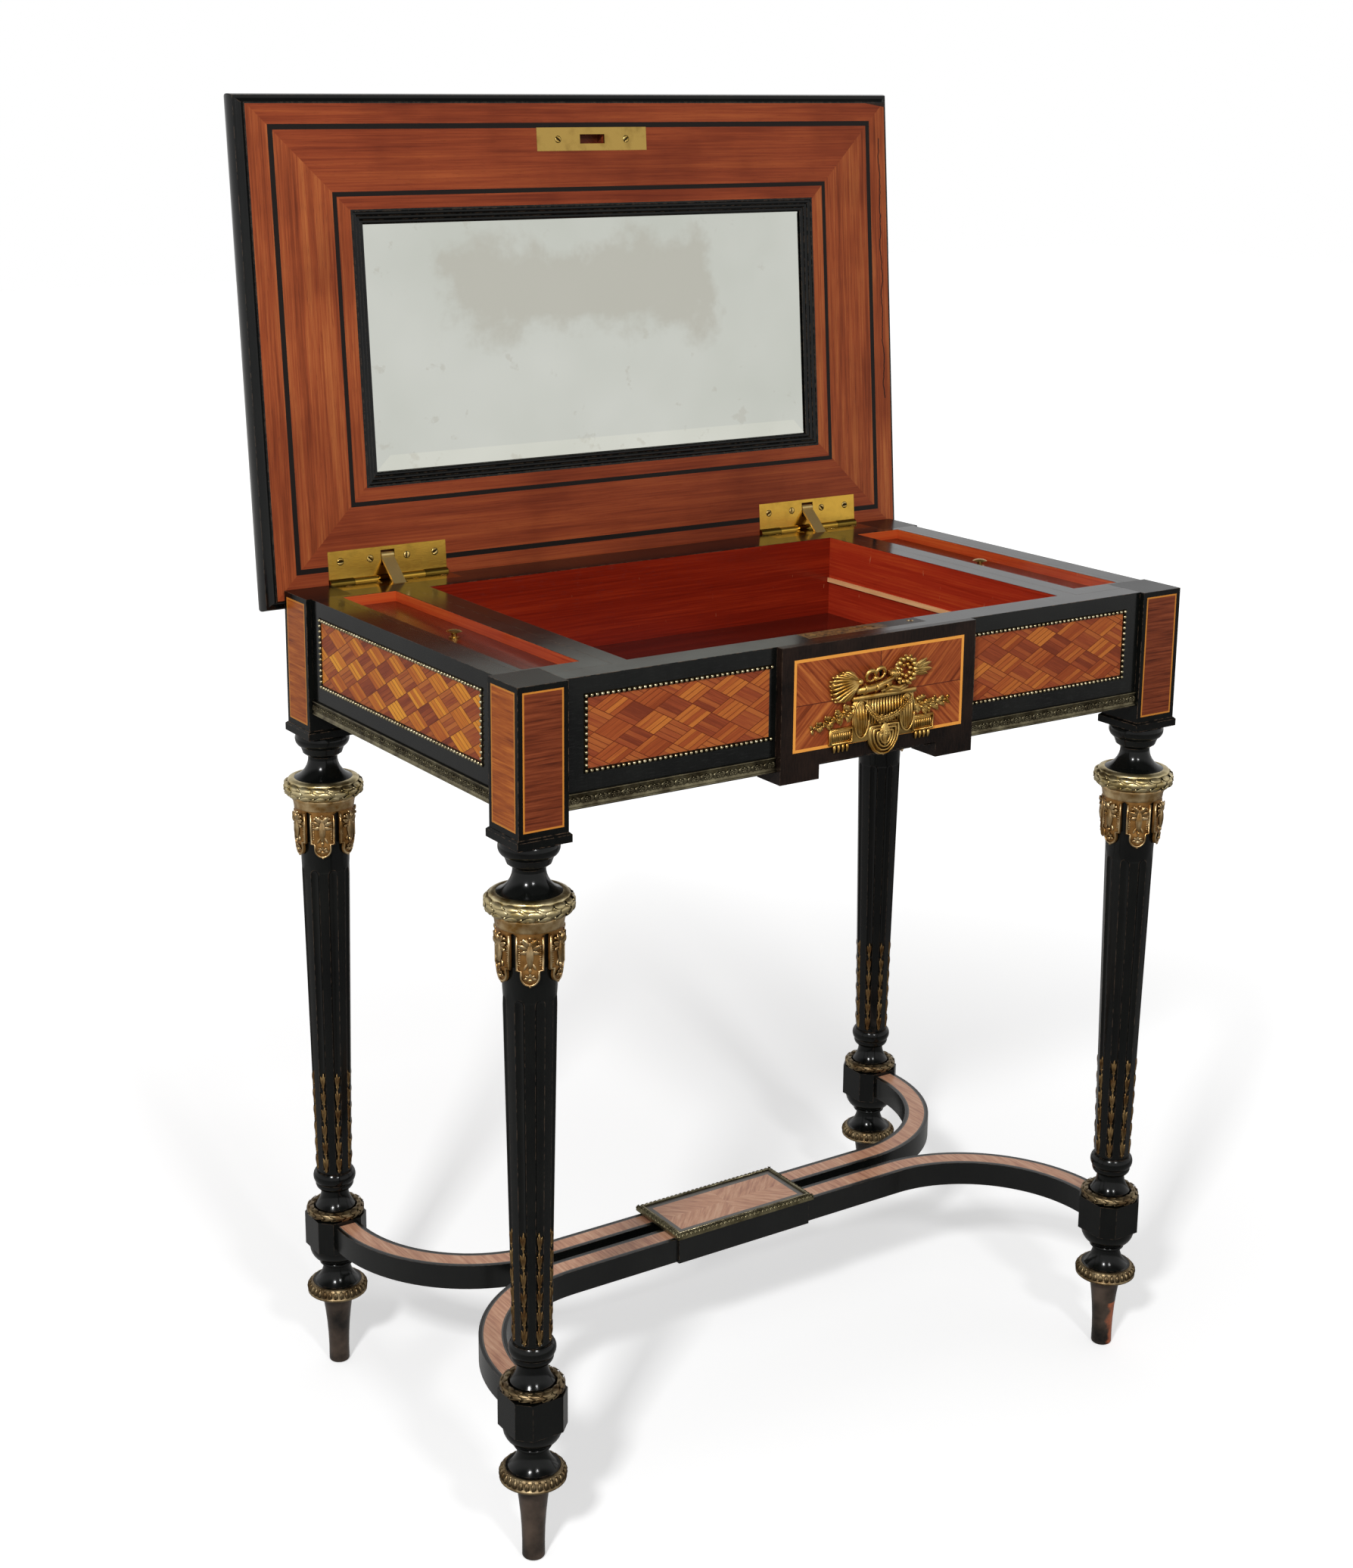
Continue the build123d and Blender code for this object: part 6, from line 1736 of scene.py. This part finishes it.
@dataclass(frozen=True)
class Woodwork:
    """Finishes of the case, the lid, the legs and the stretcher, and of the plain brass."""

    top: float = 721.7
    well: Spot = (-167.0, 148.3)
    floor: float = 646.0
    platform: float = 149.9

    def case(self) -> None:
        """Dresses the legs, the posts, the panels and the rails."""
        dress(EbonisedPear(), *(f"leg_{c}" for c in CORNERS))
        dress(EbonisedPear(), "rail_left", "rail_right", "lid_moulding", "mirror_frame")
        dress(InlaidPost(), *(f"post_{c}" for c in CORNERS))
        dress(QuarteredTablet(), "tablet")
        # The front and back panels take a darker copy of the parquetry's woods than the side panels:
        # painted shade on the front and painted light on the sides, from the lamp at the left.
        light, dark = ("#863c1e", "#a25028", "#c47432"), ("#72331f", "#944628", "#b06230")
        front = Parquetry("parquetry_front_shaded_tulipwood_kingwood", light=light, dark=dark)
        side = Parquetry("parquetry_side_lit_tulipwood_kingwood", (0.0, -1.0, 0.0))
        dress(front, "parquetry_front_left", "parquetry_front_right", "parquetry_back")
        dress(side, "parquetry_left", "parquetry_right")

    def inside(self) -> None:
        """Dresses the lid, the well, the tills and the covers."""
        dress(PanelledLid(), "lid_panel")
        dress(OldMirror(), "mirror_glass")
        wall = Lining("mahogany_well_wall_polished", ACROSS, UP, RED_MAHOGANY, self.top, self.well)
        dress(wall, "rail_front", "rail_back")
        part = Lining("mahogany_partition_polished", DEEP, UP, BRIGHT_MAHOGANY, self.top)
        dress(part, "partition_left", "partition_right")
        till = Lining("mahogany_till_polished", DEEP, UP, ORANGE_MAHOGANY, self.top)
        dress(till, "till_left", "till_right")
        floor = Lining("mahogany_floor_polished", ACROSS, DEEP, FLOOR_MAHOGANY, raw_below=self.floor)
        dress(floor, "case_bottom")
        cover = Lining("mahogany_cover_polished", DEEP, ACROSS, COVER_MAHOGANY)
        dress(cover, "till_cover_left", "till_cover_right")
        dress(Lining("beech_runner_bare", DEEP, UP, BEECH), "tray_runners")

    def build(self) -> None:
        """Dresses all CAD nodes of wood, glass and brass."""
        self.case()
        self.inside()
        dress(BandedTop("kingwood_banded_stretcher"), "stretcher_front", "stretcher_back")
        dress(BandedTop("kingwood_quartered_platform", True, self.platform), "platform")
        dress(RolledBrass(), "hinge_lid_leaf_left", "hinge_lid_leaf_right")
        arm = RolledBrass("brass_arm_worn", "#e2c684", "#b09254", 0.45, 0.3)
        dress(arm, "stop_arm_left", "stop_arm_right")
        dull = RolledBrass("brass_plate_dulled", "#c2a056", "#8a6c38", 0.26, 0.5)
        dress(dull, "strike_plate", "knob_left", "knob_right", "lock_bolt")
        leaf = RolledBrass("brass_case_leaf_tarnished", "#8f7430", "#5f4a1c", 0.1, 0.5)
        dress(leaf, "hinge_case_leaf_left", "hinge_case_leaf_right")
        dress(LockPlate(), "lock_case")
        dress(OLIVE_GILT, "platform_moulding")


@dataclass(frozen=True)
class Studio:
    """A pale floor, soft lamps and the camera where the photograph was taken."""

    eye: Vec = (-1135.1, -1589.0, 1132.7)
    yaw: float = 0.565566
    pitch: float = 0.238507
    roll: float = 0.002041
    focal: float = 3071.77
    centre: tuple[float, float] = (805.77, 873.24)
    image: tuple[int, int] = (1788, 2072)
    floor_glow: float = 0.39
    floor_mirrored: float = 0.22
    sky_glow: float = 0.36
    floor_rise: tuple[float, ...] = (0.3, 2.1, 0.0, 0.46)
    edge_rise: tuple[float, ...] = (2.6, 4.6, 0.0, 0.6)
    behind: Vec = (-0.35, 0.94, 0.0)
    behind_rise: tuple[float, ...] = (-0.7, 0.8, 0.0, 0.2)
    wall_glow: float = 0.74
    wall_top: float = 24.0
    wall_fade: float = 16.0
    ceiling_glow: float = 0.1

    def camera(self) -> None:
        """Sets the camera from the fit of the photograph's edges."""
        data = bpy.data.cameras.new("camera")
        data.sensor_width = 36.0
        data.lens = 36.0 * self.focal / self.image[1]
        data.shift_x = (self.image[0] / 2 - self.centre[0]) / self.image[1]
        data.shift_y = -(self.image[1] / 2 - self.centre[1]) / self.image[1]
        data.clip_start = 0.05
        data.clip_end = 60.0
        level = cos(self.pitch)
        forward = Vector((sin(self.yaw) * level, cos(self.yaw) * level, -sin(self.pitch)))
        right = Vector((cos(self.yaw), -sin(self.yaw), 0.0))
        up = right.cross(forward)
        tilt_r = right * cos(self.roll) + up * sin(self.roll)
        tilt_u = up * cos(self.roll) - right * sin(self.roll)
        turn = Matrix((tilt_r, tilt_u, -forward)).transposed().to_4x4()
        place = Vector(self.eye) * MM - Vector((0.0, ORIGIN_BACK * MM, 0.0))
        obj = bpy.data.objects.new("camera", data)
        obj.matrix_world = Matrix.Translation(place) @ turn
        bpy.context.scene.collection.objects.link(obj)
        bpy.context.scene.camera = obj

    def lamp(self, name: str, place: Vec, aim: Vec, size: float, power: float) -> None:
        """Adds a soft square lamp.

        Args:
            name: The lamp's name.
            place: Where it stands, in metres.
            aim: What it points at, in metres.
            size: Its side in metres.
            power: Its watts.
        """
        data = bpy.data.lights.new(name, "AREA")
        data.size = size
        data.energy = power
        obj = bpy.data.objects.new(name, data)
        obj.location = place
        obj.rotation_euler = (Vector(aim) - Vector(place)).to_track_quat("-Z", "Y").to_euler()
        bpy.context.scene.collection.objects.link(obj)

    def floor(self) -> None:
        """Lays the floor: white with soft shadows to the eye, dark where polish mirrors it."""
        mesh = bpy.data.meshes.new("studio_floor")
        reach = 12.0
        corners = [(u, v, 0.0) for u, v in box(-reach, -reach, reach, reach)]
        mesh.from_pydata(corners, [], [(0, 1, 2, 3)])
        obj = bpy.data.objects.new("studio_floor", mesh)
        bpy.context.scene.collection.objects.link(obj)
        material = bpy.data.materials.new("studio_floor_paper")
        material.use_nodes = True
        g = Graph(material.node_tree)
        point = g.add("TexCoord", out="Object")
        far = g.add("VectorMath.LENGTH", point)
        lit = g.add("MapRange.SMOOTHSTEP", far, *self.floor_rise)
        diffuse = g.add("BsdfDiffuse", {"Color": "#f4f4f4"})
        glow = g.add("Emission", {"Color": WHITE, "Strength": g.add("Math.ADD", lit, self.floor_glow)})
        eye = g.add("LightPath", out="Is Camera Ray")
        both = g.add("MixShader", eye, diffuse, g.add("AddShader", diffuse, glow))
        behind = g.add("MapRange.SMOOTHSTEP", g.along(point, self.behind), *self.behind_rise)
        edge = g.add("MapRange.SMOOTHSTEP", far, *self.edge_rise)
        dim = g.add("Math.ADD", g.add("Math.MAXIMUM", edge, behind), self.floor_mirrored)
        mirrored = g.add("Emission", {"Color": (1.0, 0.99, 0.97, 1.0), "Strength": dim})
        polish = g.add("LightPath", out="Is Glossy Ray")
        g.add("OutputMaterial", g.add("MixShader", polish, both, mirrored))
        mesh.materials.append(material)

    def world(self) -> None:
        """Sets the sky: white to the eye, a bright wall below a dark ceiling in polish, even elsewhere."""
        world = bpy.data.worlds.new("studio")
        bpy.context.scene.world = world
        world.use_nodes = True
        g = Graph(world.node_tree)
        height = g.add("SeparateXYZ", g.add("TexCoord", out="Generated"), out="Z")
        low, high = sin(radians(self.wall_top)), sin(radians(self.wall_top + self.wall_fade))
        wall = g.add("MapRange", height, low, high, self.wall_glow, self.ceiling_glow)
        even, polish, seen = (g.add("Background", WHITE, glow) for glow in (self.sky_glow, wall, 1.0))
        first = g.add("MixShader", g.add("LightPath", out="Is Glossy Ray"), even, polish)
        last = g.add("MixShader", g.add("LightPath", out="Is Camera Ray"), first, seen)
        g.add("OutputWorld", last)

    def build(self) -> None:
        """Builds the whole studio."""
        bpy.context.scene.view_settings.view_transform = "Standard"
        self.camera()
        self.floor()
        self.world()
        self.lamp("key_lamp", (-2.3, -1.9, 2.5), (0.0, 0.0, 0.6), 0.36, 64.0)
        self.lamp("fill_lamp", (-0.6, -3.1, 2.3), (0.0, 0.0, 0.6), 0.36, 26.0)


def main() -> None:
    """Builds the desk's looks in order and reports each piece."""
    logging.basicConfig(level=logging.INFO, format="%(name)s: %(message)s")
    bronzes = (LegBronzes(), FriezeBronzes(), TrophyMount(), Fasteners(), PlatformEdge())
    for part in (Studio(), Woodwork(), *bronzes):
        part.build()


if __name__ == "__main__":
    main()
